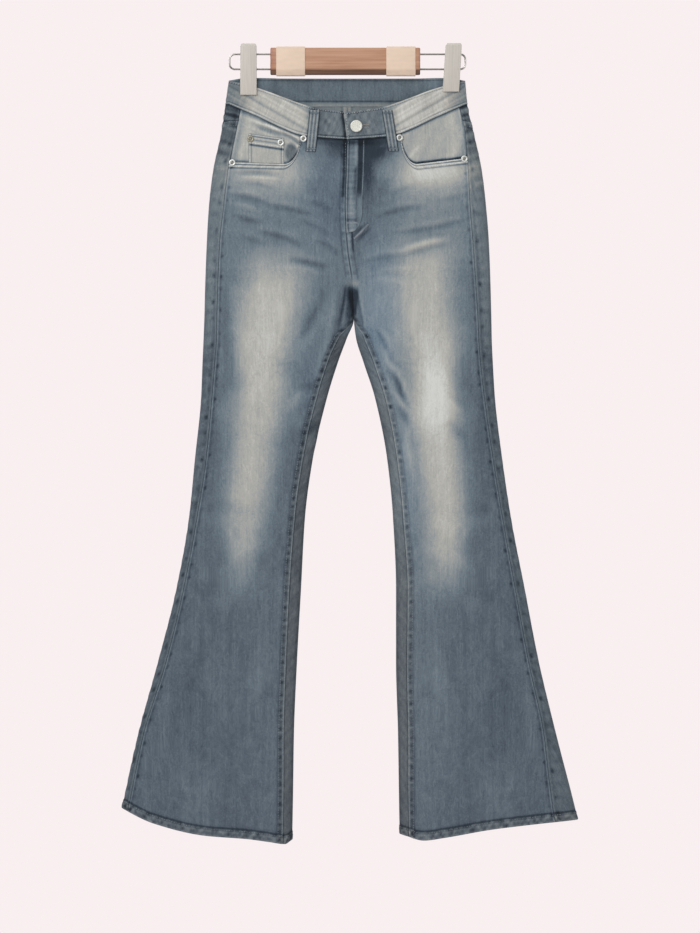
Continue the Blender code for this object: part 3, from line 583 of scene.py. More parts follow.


# %% [markdown]
# ## Folds and pulls
#
# Hung from two clips, the jeans drop almost flat. What folds there are come from where the cloth is
# pulled: slanting creases below the pockets, short ones that fan out of the crotch, bends inside
# the thighs and behind the knees, and small steps across the strip that wraps round each side seam.
# Each row of the table is one crease, drawn from a start to an end with a sideways bow. It
# is a soft ridge with a shallower hollow beside it, and it fades out towards both of its ends.

# %% Creases
Crease = namedtuple("Crease", "half face x_a drop_a x_b drop_b bow width height")
CREASES = table(Crease, (
    # pulled towards the right belt loop, on the facing
    (-1, -1, -136, 103, -78, 124, -3, 2.8, -2.8),
    (-1, -1, -118, 104, -70, 126, -2, 2.4, 1.6),
    (-1, -1, -100, 114, -62, 138, 1, 2.6, -2.8),
    (-1, -1, -86, 124, -62, 146, 1, 2.4, 1.4),
    # right hip, front
    (-1, -1, -164, 176, -92, 178, 2, 3.2, -1.3),
    (-1, -1, -154, 182, -88, 186, 2, 2.4, 1.3),
    (-1, -1, -152, 190, -96, 200, 3, 3.2, -1.2),
    (-1, -1, -168, 206, -106, 221, 3, 3.6, -1.7),
    (-1, -1, -122, 220, -44, 236, 2, 3.6, -1.5),
    (-1, -1, -166, 217, -118, 231, 2, 3.4, 1.2),
    (-1, -1, -162, 233, -116, 245, -2, 3.6, -1.6),
    (-1, -1, -60, 212, -18, 234, 3, 4.0, -0.8),
    (-1, -1, -128, 257, -60, 279, 3, 3.8, -1.5),
    (-1, -1, -152, 262, -112, 277, 0, 3.6, -0.9),
    (-1, -1, -74, 240, -24, 264, 3, 4.0, -0.9),
    (-1, -1, -48, 268, -8, 292, 2, 4.0, -1.0),
    (-1, -1, -82, 294, -24, 306, -2, 4.0, -1.3),
    (-1, -1, -98, 307, -30, 319, 4, 4.6, 1.0),
    (-1, -1, -30, 330, -78, 420, 5, 7, -1.3),
    (-1, -1, -16, 336, -46, 470, 4, 6, 1.5),
    (-1, -1, -168, 330, -160, 470, -3, 8, -1.1),
    # left hip, front
    (1, -1, 56, 208, 100, 194, 2, 4.0, -0.8),
    (1, -1, 122, 214, 170, 204, -2, 4.0, -0.8),
    (1, -1, 38, 238, 114, 222, 3, 3.8, -1.4),
    (1, -1, 56, 260, 172, 239, -4, 3.8, -1.4),
    (1, -1, 68, 287, 146, 266, 3, 4.0, 1.6),
    (1, -1, 74, 294, 150, 275, 3, 3.6, -1.2),
    (1, -1, 22, 301, 86, 292, 3, 4.0, -1.2),
    (1, -1, 28, 318, 98, 308, 3, 4.6, 1.0),
    (1, -1, 30, 326, 84, 330, 4, 5.0, 0.9),
    # beside the tack at the foot of the fly
    (1, -1, 11, 273.5, 33, 251, 0, 2.3, -2.0),
    (1, -1, 6, 266, 27, 244.5, 0, 2.2, -1.6),
    # the felled seams run up into the crotch
    (-1, -1, -2, 330, -14, 402, 1, 1.9, -1.9),
    (1, -1, 13.5, 334, 23, 398, -1, 1.9, -1.7),
    # inside of the left thigh
    (1, -1, 40, 394, 55, 426, 2, 3.8, -1.5),
    (1, -1, 48, 414, 62, 452, -1, 3.6, 0.9),
    (1, -1, 53, 434, 78, 458, -2, 3.6, 1.1),
    (1, -1, 55, 450, 79, 492, 4, 3.6, -1.6),
    (1, -1, 66, 450, 92, 510, -5, 3.8, -1.4),
    (1, -1, 60, 478, 82, 514, 3, 3.6, 1.0),
    (1, -1, 68, 498, 87, 534, 2, 5.5, -1.8),
    (1, -1, 82, 520, 95, 610, -3, 5.0, 1.1),
    (1, -1, 140, 492, 160, 512, 0, 6, 1.2),
    (1, -1, 138, 520, 166, 548, 0, 8, -1.2),
    # inside of the right thigh
    (-1, -1, -44, 466, -72, 480, 2, 7, -1.2),
    (-1, -1, -66, 474, -80, 508, 3, 7, 1.1),
    (-1, -1, -40, 520, -74, 548, 3, 9, -1.1),
    # knees and shins, front
    (-1, -1, -196, 640, -120, 662, 6, 10, -0.5),
    (-1, -1, -92, 690, -170, 716, -6, 11, 0.4),
    (-1, -1, -214, 760, -160, 742, -6, 10, -0.4),
    (-1, -1, -110, 800, -150, 960, 8, 12, 0.5),
    (-1, -1, -200, 820, -236, 1000, -8, 13, -0.5),
    (1, -1, 204, 648, 126, 668, -6, 10, -0.5),
    (1, -1, 84, 700, 168, 724, 6, 11, 0.4),
    (1, -1, 222, 776, 168, 750, 6, 10, -0.4),
    (1, -1, 118, 812, 160, 980, -8, 12, 0.5),
    (1, -1, 208, 830, 232, 1010, 8, 13, -0.5),
    # seat and backs of the thighs
    (-1, 1, -150, 318, -62, 352, 8, 6, -0.9),
    (-1, 1, -160, 346, -78, 366, 8, 7, 0.8),
    (-1, 1, -30, 330, -96, 388, 8, 6, -0.9),
    (-1, 1, -12, 350, -60, 412, 5, 6, 0.8),
    (-1, 1, -24, 352, -90, 402, 9, 5, -0.7),
    (1, 1, 146, 312, 58, 350, -8, 6, -0.9),
    (1, 1, 162, 350, 84, 370, -8, 7, 0.8),
    (1, 1, 28, 334, 92, 394, -8, 6, -0.9),
    (1, 1, 14, 352, 56, 418, -5, 6, 0.8),
    (1, 1, 40, 340, 104, 378, -9, 5, -0.7),
    # backs of the knees
    (-1, 1, -84, 610, -176, 632, 6, 7, -1.1),
    (-1, 1, -100, 640, -190, 640, -6, 7, 1.0),
    (-1, 1, -88, 668, -170, 690, 7, 7, -1.0),
    (-1, 1, -96, 712, -196, 704, -6, 8, 0.9),
    (-1, 1, -110, 586, -190, 604, 5, 6, -0.7),
    (1, 1, 82, 602, 172, 636, -6, 7, -1.1),
    (1, 1, 96, 640, 192, 650, 6, 7, 1.0),
    (1, 1, 84, 680, 168, 690, -7, 7, -1.0),
    (1, 1, 98, 722, 196, 706, 6, 8, 0.9),
    (1, 1, 104, 580, 184, 598, -5, 6, -0.7),
    (-1, 1, -130, 790, -150, 1010, 8, 14, 0.8),
    (-1, 1, -210, 800, -250, 1030, -8, 14, -0.8),
    (1, 1, 126, 800, 150, 1000, -8, 14, 0.8),
    (1, 1, 204, 790, 246, 1040, 8, 14, -0.8),
))


def crease_at(row, half, face, x, drop):
    """One crease's height over a grid, and 0 wherever it doesn't reach."""
    dx, dd = row.x_b - row.x_a, row.drop_b - row.drop_a
    length = math.hypot(dx, dd)
    along = ((x - row.x_a) * dx + (drop - row.drop_a) * dd) / length**2
    inside = np.clip(along, 0, 1)
    across = ((x - row.x_a) * dd - (drop - row.drop_a) * dx) / length - row.bow * 4 * inside * (1 - inside)
    width = row.width * (0.75 + 0.35 * np.sin(math.pi * inside) + 0.12 * waver(along * length, 37, row.x_a))
    ridge = np.exp(-((across / width) ** 2)) - 0.45 * np.exp(-(((across - 1.7 * width) / (1.2 * width)) ** 2))
    fade = np.sin(math.pi * inside) ** 0.8 * ((along > 0) & (along < 1))
    return np.where((half == row.half) & (face == row.face), row.height * ridge * fade, 0)


def add_creases(cloth):
    """Adds every crease to a panel; its crests are paler, partly worn dye and partly painted light, and its
    hollows darker with painted shade.
    """
    total = sum(crease_at(row, cloth.half, cloth.face, cloth.x, cloth.drop) for row in CREASES)
    cloth.out += total
    # painted light on the crests, over dye worn off them, and painted shade in the hollows
    cloth.wear += 0.11 * total
    return cloth


# %% [markdown]
# ## Where the dye is worn, and where shade is painted
#
# Washed jeans are rubbed pale by hand down the thighs and below the pockets. A `Fade` is one of
# those rubbed bands: for each drop its middle, its half width and how worn it is. Its sides are
# soft but its middle is level, like a stroke of an airbrush. Spots are round strokes: most mark
# where the dye is worn and where it is kept, and a few are painted shade under the waistband
# beside the fly. Each stroke paints the cloth's paleness under it towards its own level, so the
# order of the rows matters. Tints are round strokes too, and make the cloth browner or bluer.

# %% Fades
Fade = namedtuple("Fade", "drop middle reach wear")
THIGH_FADES = {
    -1: table(Fade, (
        (262, -98, 32, 0.33), (277, -99, 34, 0.43), (288, -101, 36, 0.50), (300, -105, 38, 0.57),
        (321, -102, 39, 0.70), (342, -106, 39, 0.79), (363, -109, 41, 0.81), (384, -113, 39, 0.81),
        (405, -115, 38, 0.82), (426, -118, 35, 0.81), (447, -122, 32, 0.80), (468, -119, 33, 0.80),
        (489, -122, 33, 0.78), (510, -125, 36, 0.73), (552, -131, 31, 0.73), (594, -135, 29, 0.74),
        (636, -141, 29, 0.70), (678, -147, 25, 0.64), (699, -148, 23, 0.60), (720, -148, 20, 0.51),
        (741, -150, 20, 0.42), (762, -152, 24, 0.36), (800, -153, 28, 0.28),
    )),
    1: table(Fade, (
        (252, 112, 32, 0.48), (266, 111, 34, 0.57), (277, 107, 40, 0.58), (288, 108, 42, 0.61),
        (300, 106, 37, 0.71), (342, 106, 36, 0.76), (384, 112, 36, 0.78), (405, 115, 35, 0.81),
        (426, 119, 31, 0.86), (447, 120, 28, 0.93), (468, 121, 27, 1.00), (489, 121, 27, 1.00),
        (510, 122, 29, 0.97), (531, 123, 30, 0.90), (552, 125, 30, 0.83), (594, 130, 29, 0.80),
        (636, 135, 28, 0.78), (657, 138, 27, 0.78), (678, 137, 26, 0.75), (699, 137, 26, 0.69),
        (720, 139, 27, 0.60), (741, 134, 26, 0.51), (762, 134, 25, 0.42), (800, 132, 30, 0.33),
    )),
}
SEAT_FADES = {
    -1: table(Fade, (
        (360, -96, 30, 0.40), (420, -100, 42, 0.55), (520, -112, 44, 0.58), (600, -124, 42, 0.50),
        (660, -132, 46, 0.54), (720, -142, 44, 0.44), (800, -152, 40, 0.26),
    )),
}
SEAT_FADES[1] = [row._replace(middle=-row.middle) for row in SEAT_FADES[-1]]

Spot = namedtuple("Spot", "half face x drop wide high wear strength")
SPOTS = table(Spot, (
    # beneath the right pocket, and the hip below
    (-1, -1, -112, 238, 84, 70, 0.35, 0.8), (-1, -1, -66, 190, 24, 44, 0.40, 0.5),
    (-1, -1, -106, 196, 54, 20, 0.52, 0.8), (-1, -1, -103, 171, 64, 21, 0.76, 0.9),
    # beneath the left pocket, and the hip below
    (1, -1, 112, 243, 58, 54, 0.45, 0.85), (1, -1, 84, 196, 26, 30, 0.42, 0.6),
    (1, -1, 112, 196, 46, 20, 0.62, 0.7), (1, -1, 112, 172, 54, 19, 0.96, 0.95),
    (1, -1, 68, 160, 16, 26, 0.58, 0.8),
    # inside of the left thigh: paler than the right
    (1, -1, 34, 350, 26, 50, 0.44, 0.85), (1, -1, 66, 430, 28, 92, 0.48, 0.9),
    (1, -1, 82, 590, 22, 90, 0.50, 0.75), (1, -1, 92, 700, 26, 90, 0.36, 0.6),
    (1, -1, 104, 900, 44, 170, 0.31, 0.7), (-1, -1, -60, 460, 22, 90, 0.32, 0.6),
    (-1, -1, -104, 900, 40, 170, 0.26, 0.6),
    # the darkest cloth: dye kept at the centre front, a dark streak beside the fly, painted shade under the
    # waistband on both sides of the fly, and the crotch
    (-1, -1, -22, 190, 34, 60, 0.23, 0.8), (1, -1, 30, 205, 32, 62, 0.23, 0.8),
    (1, -1, 27, 172, 9, 34, -0.04, 0.9), (1, -1, 33, 144, 25, 14, -0.12, 0.95),
    (-1, -1, -12, 142, 16, 12, 0.02, 0.8),
    (-1, -1, -12, 300, 12, 34, 0.36, 0.7),
    # the seat
    (-1, 1, -96, 200, 80, 80, 0.46, 0.6), (1, 1, 96, 200, 80, 80, 0.46, 0.6),
    (-1, 1, -80, 320, 70, 34, 0.42, 0.6), (1, 1, 80, 320, 70, 34, 0.42, 0.6),
))


Tint = namedtuple("Tint", "half x drop wide high drab")
TINTS = table(Tint, (
    (1, 44, 380, 26, 100, -0.65), (-1, -50, 470, 22, 90, -0.2), (-1, -20, 215, 34, 60, -0.3),
    (1, 80, 600, 22, 90, -0.4),
))


HALVING = 0.693  # a stroke has half its strength at its reach


def add_fade(cloth, half, face, rows):
    """Paints one rubbed band down a panel."""
    middle, reach, level = (column(rows, "drop", name)(cloth.drop) for name in ("middle", "reach", "wear"))
    ends = step((cloth.drop - rows[0].drop) / 26) * step((rows[-1].drop - cloth.drop) / 60)
    uneven = 1 + 0.06 * waver(cloth.drop, 83, 1.3)
    mask = np.exp(-HALVING * np.abs((cloth.x - middle) / (reach * uneven)) ** 2.5) * ends
    mask = mask * ((cloth.half == half) & (cloth.face == face))
    cloth.wear += (level - cloth.wear) * mask


def stroke(cloth, row, face):
    """1 at the middle of a spot or a tint, easing to 0 beyond its reach."""
    far = np.hypot((cloth.x - row.x) / row.wide, (cloth.drop - row.drop) / row.high)
    return np.exp(-HALVING * far**2.6) * ((cloth.half == row.half) & (cloth.face == face))


def add_wear_and_shade(cloth):
    """Paints the fades, spots and tints on a panel, some spots being painted shade under the waistband; the
    fronts are paler above the knees.
    """
    cloth.wear += 0.07 * (1 - step((cloth.drop - 300) / 220)) * (cloth.face < 0)
    for row in SPOTS:
        cloth.wear += (row.wear - cloth.wear) * row.strength * stroke(cloth, row, row.face)
    for row in TINTS:
        cloth.drab += row.drab * stroke(cloth, row, -1)
    for half in HALVES:
        add_fade(cloth, half, -1, THIGH_FADES[half])
        add_fade(cloth, half, 1, SEAT_FADES[half])
    cloth.wear += 0.02 * waver(cloth.drop, 47, 0.4) * waver(cloth.x, 31, 1.9)
    return cloth


# %% [markdown]
# ## Denim
#
# Denim is a twill: dyed warp threads run down the cloth and pass over the white weft in slanting
# steps. What shows from a distance is the mottle of uneven threads, streaked down the grain, and
# how much of the dye is left. The node group mixes that mottle with the painted level, which holds
# worn dye together with painted light and shade, and reads a colour off one ramp, from painted
# shade darker than raw dye, through raw blue-grey, to nearly white. It also gives the height for a
# slight bump.

# %% Node helpers


def linear(r, g, b):
    """A colour given as it looks on screen, 0 to 255, in the linear values that shaders use."""
    parts = [c / 255 for c in (r, g, b)]
    return tuple(c / 12.92 if c <= 0.04045 else ((c + 0.055) / 1.055) ** 2.4 for c in parts)


def add(tree, kind, settings=None, **inputs):
    """A shader node with its settings made and its inputs set or linked, by socket name."""
    made = tree.nodes.new("ShaderNode" + kind)
    for key, value in (settings or {}).items():
        setattr(made, key, value)
    for key, value in inputs.items():
        socket = made.inputs[int(key[1:])] if key[0] == "_" else made.inputs[key.replace("_", " ")]
        if isinstance(value, bpy.types.NodeSocket):
            tree.links.new(value, socket)
        else:
            socket.default_value = value
    return made


def new_material(name):
    """A material, its node tree and its main shader."""
    material = bpy.data.materials.new(name)
    material.use_nodes = True
    return material, material.node_tree, material.node_tree.nodes["Principled BSDF"]


def tinted(tree, share, colour, tint):
    """A colour multiplied by a share of a tint."""
    made = add(
        tree, "Mix", {"data_type": "RGBA", "blend_type": "MULTIPLY"}, _0=share, _6=colour, _7=tint
    )
    return made.outputs[2]


def calc(tree, operation, a, b=0.0, clamp=False):
    """One step of arithmetic on values."""
    return add(tree, "Math", {"operation": operation, "use_clamp": clamp}, _0=a, _1=b).outputs["Value"]


def ramp(tree, fac, stops):
    """A colour ramp over its stops."""
    made = add(tree, "ValToRGB", _0=fac)
    elements = made.color_ramp.elements
    while len(elements) < len(stops):
        elements.new(0.5)
    for element, (at, colour) in zip(elements, stops):
        element.position = at
        element.color = (*colour, 1)
    return made.outputs["Color"]


# %% The denim group
# Below 0 the ramp holds painted shade, darker than raw dye, down to the deepest shade in a seam; from 0 it
# runs from raw dye to nearly white.
DEEPEST_PAINTED_SHADE = -0.3  # deep in a seam
RAMP_SCALE = 1 / (1 - DEEPEST_PAINTED_SHADE)
DYE_AND_SHADE = [
    ((wear - DEEPEST_PAINTED_SHADE) * RAMP_SCALE, linear(*colour))
    for wear, colour in (
        (DEEPEST_PAINTED_SHADE, (20, 27, 35)),
        (0.0, (50, 61, 72)),
        (0.18, (83, 95, 106)),
        (0.36, (110, 124, 133)),
        (0.57, (146, 153, 155)),
        (0.75, (177, 177, 171)),
        (1.0, (212, 214, 210)),
    )
]


def weave_group():
    """Worn dye with painted light and shade, and drabness, in; colour and height of washed denim out."""
    tree = bpy.data.node_groups.new("washed_denim", "ShaderNodeTree")
    tree.interface.new_socket("Wear", in_out="INPUT", socket_type="NodeSocketFloat")
    tree.interface.new_socket("Drab", in_out="INPUT", socket_type="NodeSocketFloat")
    tree.interface.new_socket("Color", in_out="OUTPUT", socket_type="NodeSocketColor")
    tree.interface.new_socket("Height", in_out="OUTPUT", socket_type="NodeSocketFloat")
    group_in = tree.nodes.new("NodeGroupInput")
    group_out = tree.nodes.new("NodeGroupOutput")
    grain = add(tree, "UVMap", {"uv_map": "grain"}).outputs["UV"]
    sway = add(tree, "TexNoise", {"noise_dimensions": "2D"}, Vector=grain, Scale=14.0, Detail=2.0)
    down = calc(tree, "MULTIPLY", calc(tree, "SUBTRACT", sway.outputs["Fac"], 0.5), 0.06)
    drift = add(tree, "CombineXYZ", Y=down).outputs["Vector"]
    loose = add(tree, "VectorMath", _0=grain, _1=drift).outputs["Vector"]
    slanted = add(tree, "Mapping", Vector=loose, Rotation=(0, 0, math.radians(-60))).outputs["Vector"]

    def mottle(across, down, detail, at=loose):
        """Uneven threads: noise stretched by its number of patches a metre each way."""
        place_at = add(tree, "Mapping", Vector=at, Scale=(across, down, 1)).outputs["Vector"]
        noise = add(tree, "TexNoise", {"noise_dimensions": "2D"}, Vector=place_at, Scale=1.0, Detail=detail)
        noise.inputs["Distortion"].default_value = 0.9
        return noise.outputs["Fac"]

    slub = mottle(520, 80, 2.0)
    speck = mottle(430, 370, 1.0, slanted)
    cloud = mottle(16, 9, 3.0)
    blotch = mottle(60, 46, 2.0)
    drag = mottle(130, 5, 2.0)
    twill = mottle(150, 900, 0.0, slanted)

    level = group_in.outputs["Wear"]
    for value, amount in (
        (slub, 0.17), (speck, 0.18), (cloud, 0.11), (drag, 0.12), (blotch, 0.12), (twill, 0.06),
    ):
        part = calc(tree, "MULTIPLY", calc(tree, "SUBTRACT", value, 0.5), amount)
        level = calc(tree, "ADD", level, part)
    level = calc(tree, "ADD", calc(tree, "MULTIPLY", level, RAMP_SCALE), 1 - RAMP_SCALE, clamp=True)
    bluer = calc(tree, "MULTIPLY", group_in.outputs["Drab"], -1.0)
    cool = tinted(tree, bluer, ramp(tree, level, DYE_AND_SHADE), (0.88, 1.0, 1.14, 1))
    drab = tinted(tree, group_in.outputs["Drab"], cool, (1.12, 0.98, 0.86, 1))
    tree.links.new(drab, group_out.inputs["Color"])
    height = calc(tree, "ADD", calc(tree, "MULTIPLY", twill, 1.0), calc(tree, "MULTIPLY", speck, 0.8))
    tree.links.new(calc(tree, "ADD", height, slub), group_out.inputs["Height"])
    return tree


WEAVE = weave_group()


def denim():
    """The denim material, which reads its worn dye and its painted light and shade off the cloth."""
    material, tree, shader = new_material("denim")
    shader.inputs["Roughness"].default_value = 0.88
    shader.inputs["Specular IOR Level"].default_value = 0.25
    group = tree.nodes.new("ShaderNodeGroup")
    group.node_tree = WEAVE
    for socket in ("Wear", "Drab"):
        painted = add(tree, "Attribute", {"attribute_name": socket.lower()})
        tree.links.new(painted.outputs["Fac"], group.inputs[socket])
    tree.links.new(group.outputs["Color"], shader.inputs["Base Color"])
    bump = add(tree, "Bump", Strength=0.5, Distance=0.0003, Height=group.outputs["Height"])
    tree.links.new(bump.outputs["Normal"], shader.inputs["Normal"])
    return material


DENIM = denim()

# %% [markdown]
# ## The leg panels
#
# Each leg has a front panel, cut away at the pocket mouth, and a wider back panel that wraps round
# to the front on both sides. The inseam and the side seam lie where the two meet. A row of the
# grid runs level down to the flare, and from there the rows lean over to the slanting hem. The
# side and inside seams are felled and topstitched, and shrink in the wash: the cloth beside
# them puckers, so small dimples, darkened with painted shade, and pale crests follow one another
# down the seam.

# %% Rows and columns of a leg
ROW_STEP = 3.0


def crowded(count, crowd):
    """Steps from 0 to 1 that are finer at both ends."""
    c = np.linspace(0, 1, count)
    return c - crowd * np.sin(2 * np.pi * c) / (2 * np.pi)


def closer(first, last, count, crowd=0.55):
    """Turns from first to last, finer at both ends: half spread by turn, which crowds them at the
    folds, and half along the cloth."""
    c = crowded(count, crowd)
    by_turn = first + (last - first) * c

    def run(turn):
        share = share_of(turn)
        return np.where(turn <= 1, share, np.where(turn <= 2, 2 - share, 2 + share))

    q = run(first) + (run(last) - run(first)) * c
    share = np.where(q <= 1, q, np.where(q <= 2, 2 - q, q - 2))
    turn = np.arccos(1 - 2 * np.clip(share, 0, 1)) / np.pi
    along = np.where(q <= 1, turn, np.where(q <= 2, 2 - turn, 2 + turn))
    return 0.5 * (by_turn + along)


def shift(half, turn, drop, distance):
    """The turn that lies a distance further along the section, where the leg is a closed tube."""
    before, after = (surface(half, turn + d, drop) for d in (-0.01, 0.01))
    moved = turn + distance * 0.02 / np.linalg.norm(after - before, axis=-1)
    return np.where(opening_at_centre(drop) > 0.02, turn, moved)


def at_side(half, drop, gap):
    return turn_at(half, seam_x(half, drop) + gap, drop)


FRONT_COLUMNS, BACK_COLUMNS = 88, 110


def front_turns(half, drop):
    """One row of a front panel, from the inseam or centre seam to the side seam."""
    first = shift(half, inseam_turn(half, drop), drop, EDGE)
    return closer(first, at_side(half, drop, -half * EDGE), FRONT_COLUMNS)


def back_turns(half, drop):
    """One row of a back panel, from the side seam round the rear to the inseam."""
    last = 2 + shift(half, inseam_turn(half, drop), drop, -EDGE)
    return closer(at_side(half, drop, half * EDGE), last, BACK_COLUMNS)


LEVEL_ROWS = np.concatenate(
    [np.arange(JOIN, 300, ROW_STEP), np.arange(300, 420, 2.4), np.arange(420, FLARE_START, ROW_STEP)]
)
HEM_STEPS = (12.9, 12.2, 11.6, 11.0, 9.4, 7.8, 6.2, 4.6, 3.0, 1.8, 0.9, 0.35, 0.0)
FLARE_SHARES = np.linspace(0, 1, 58)


def lower_rows(half, turns):
    """Turns and drops of a leg panel from JOIN down to the hem's fold."""
    table_t = [turns(half, d) for d in LEVEL_ROWS]
    table_d = [np.full_like(t, d) for t, d in zip(table_t, LEVEL_ROWS)]
    hem_middle = float(hem_drop(half, np.array(0.5)))
    lean = [(k, HEM_STEPS[0] + 2.0) for k in FLARE_SHARES] + [(1.0, above) for above in HEM_STEPS]
    for k, above in lean:
        t = turns(half, FLARE_START + k * (hem_middle - FLARE_START))
        end = hem_drop(half, np.where(t > 2, t - 2, t)) - above
        table_t.append(t)
        table_d.append(FLARE_START + k * (end - FLARE_START))
    return table_t, table_d


def mouth_line(half):
    """The upper edge of a front panel as x and drop: waistband seam, pocket scoop, side."""
    scoop = SCOOPS[half]
    inner = float(inner_x(half, np.array(WAISTS[0].bottom)))
    side = float(seam_x(half, np.array(scoop.side_drop))) - half * EDGE
    band = np.linspace(inner, scoop.start, 60)
    start_drop = float(WAIST_BOTTOM(abs(scoop.start))) + BAND_CLEAR
    angle = np.linspace(0, np.pi / 2, 40)[1:]
    arc_x = scoop.start + (scoop.corner - scoop.start) * (1 - np.cos(angle))
    arc_d = start_drop + (scoop.corner_drop - start_drop) * np.sin(angle)
    level = np.linspace(scoop.corner, side, 40)[1:]
    level_d = scoop.corner_drop + (scoop.side_drop - scoop.corner_drop) * (level - scoop.corner) / (
        side - scoop.corner
    )
    x = np.concatenate([band, arc_x, level])
    drop = np.concatenate([WAIST_BOTTOM(np.abs(band)) + BAND_CLEAR, arc_d, level_d])
    run = np.concatenate([[0], np.cumsum(np.hypot(np.diff(x), np.diff(drop)))])
    low = surface(half, front_turns(half, JOIN), JOIN)[:, 0]
    share = (low - low[0]) / (low[-1] - low[0]) * run[-1]
    return np.interp(share, run, x), np.interp(share, run, drop), low


def front_panel(half):
    """From the centre seam to the side seam, cut away at the pocket mouth."""
    x_top, d_top, x_low = mouth_line(half)
    turns, drops = [], []
    for k in (np.linspace(0, 1, 36) ** 1.5)[:-1]:
        x, drop = x_top + (x_low - x_top) * k, d_top + (JOIN - d_top) * k
        x[-1] = seam_x(half, drop[-1]) - half * EDGE
        turn = turn_at(half, x, drop)
        turn[0] = 0.0
        turns.append(turn)
        drops.append(drop)
    more_turns, more_drops = lower_rows(half, front_turns)
    return Cloth(half, np.array(turns + more_turns), np.array(drops + more_drops))


def back_panel(half):
    """From the yoke seam to the hem."""
    t_low = back_turns(half, JOIN)
    t_top = back_turns(half, YOKES[0].drop)
    seam = YOKE(t_top)
    turns, drops = [], []
    for k in (np.linspace(0, 1, 40) ** 1.6)[:-1]:
        drop = seam + EDGE + (JOIN - seam - EDGE) * k
        turn = t_top + (t_low - t_top) * k
        turn[0] = at_side(half, drop[0], half * EDGE)
        turns.append(turn)
        drops.append(drop)
    more_turns, more_drops = lower_rows(half, back_turns)
    return Cloth(half, np.array(turns + more_turns), np.array(drops + more_drops))


# %% What the seams do to the cloth


def ridge(distance, middle, reach):
    """A soft bead at a distance from an edge."""
    return np.exp(-(((distance - middle) / reach) ** 2))


def turn_up_hem(cloth):
    """The hem is folded up twice: thicker, roped by its own stitching, rounded at the fold. Its fold and rope
    crests are worn pale, and painted shade darkens a line just above it and the groove of its stitching.
    """
    above = cloth.from_end
    band = step((HEM_HEIGHT + 0.9 - above) / 1.2)
    cloth.out += HEM_OUT * band
    cloth.wall += 2 * HEM_OUT * band
    twist = cloth.from_first + 0.8 * above + 5 * waver(cloth.from_first, 61, 0.9)
    rope = waver(twist, 15, 2.0 + cloth.half) * (0.6 + 0.5 * waver(cloth.from_first, 47, 2.2)) * band
    rope += 0.55 * waver(twist - 1.6 * above, 10, 0.8) * band
    lump = step((17 - np.minimum(cloth.from_first, cloth.from_last)) / 8) * band
    rope += 0.7 * lump * waver(twist, 9, 0.3)
    cloth.out += (0.5 * rope + 0.5 * lump) * step((HEM_HEIGHT - above) / 3)
    cloth.out -= 0.35 * ridge(above, HEM_HEIGHT - 2.0, 1.1)
    cloth.wear += 0.20 * rope - 0.28 * ridge(above, HEM_HEIGHT + 1.0, 1.4) - 0.12 * ridge(above, 9.8, 0.9)
    cloth.wear += band * (0.16 * ridge(above, 0.6, 1.6) + 0.09 * ridge(above, HEM_HEIGHT - 4, 2.4) - 0.05)
    cloth.drab += 0.5 * band
    fold = 1 - np.sqrt(np.clip(1 - (1 - np.clip(above / 1.4, 0, 1)) ** 2, 0.02, 1))
    cut = cloth.wall * fold
    cloth.out -= cut / 2
    cloth.wall -= cut


def side_seam(cloth, distance, lower):
    """A pale rope beside the side seam, and dimples at every other stitch or so; painted shade darkens the
    dimples, a groove beside the rope and the seam line.
    """
    t = cloth.drop
    rope = 0.75 + 0.35 * waver(t, 9, 1.5 + lower)
    cloth.out += 0.35 * ridge(distance, 1.5, 1.0)
    if lower:
        dimple = np.clip(-waver(t, 20, 0.4 + cloth.half), 0, 1) ** 1.6
        ripple = waver(t, 17, 0.6)
        cloth.out += 0.45 * ripple * ridge(distance, 10, 6) - 0.8 * dimple * ridge(distance, 6.2, 2.6)
        cloth.wear += 0.07 * ripple * ridge(distance, 12, 6) + 0.07 * rope * ridge(distance, 1.4, 0.9)
        cloth.wear -= 0.34 * dimple * ridge(distance, 6.2, 2.4) + 0.07 * ridge(distance, 4.2, 1.6)
    else:
        dimple = np.clip(-waver(t, 15.5, 1.0 + cloth.half), 0, 1) ** 1.5
        cloth.out -= 0.9 * dimple * ridge(distance, 4.6, 2.2)
        cloth.wear += 0.19 * rope * ridge(distance, 1.0, 1.0)
        cloth.wear -= 0.26 * dimple * ridge(distance, 4.6, 2.0) + 0.10 * ridge(distance, 3.6, 1.4)
    cloth.out -= 0.5 * ridge(distance, 0, 0.5)
    cloth.wear -= 0.14 * ridge(distance, 0, 0.5)


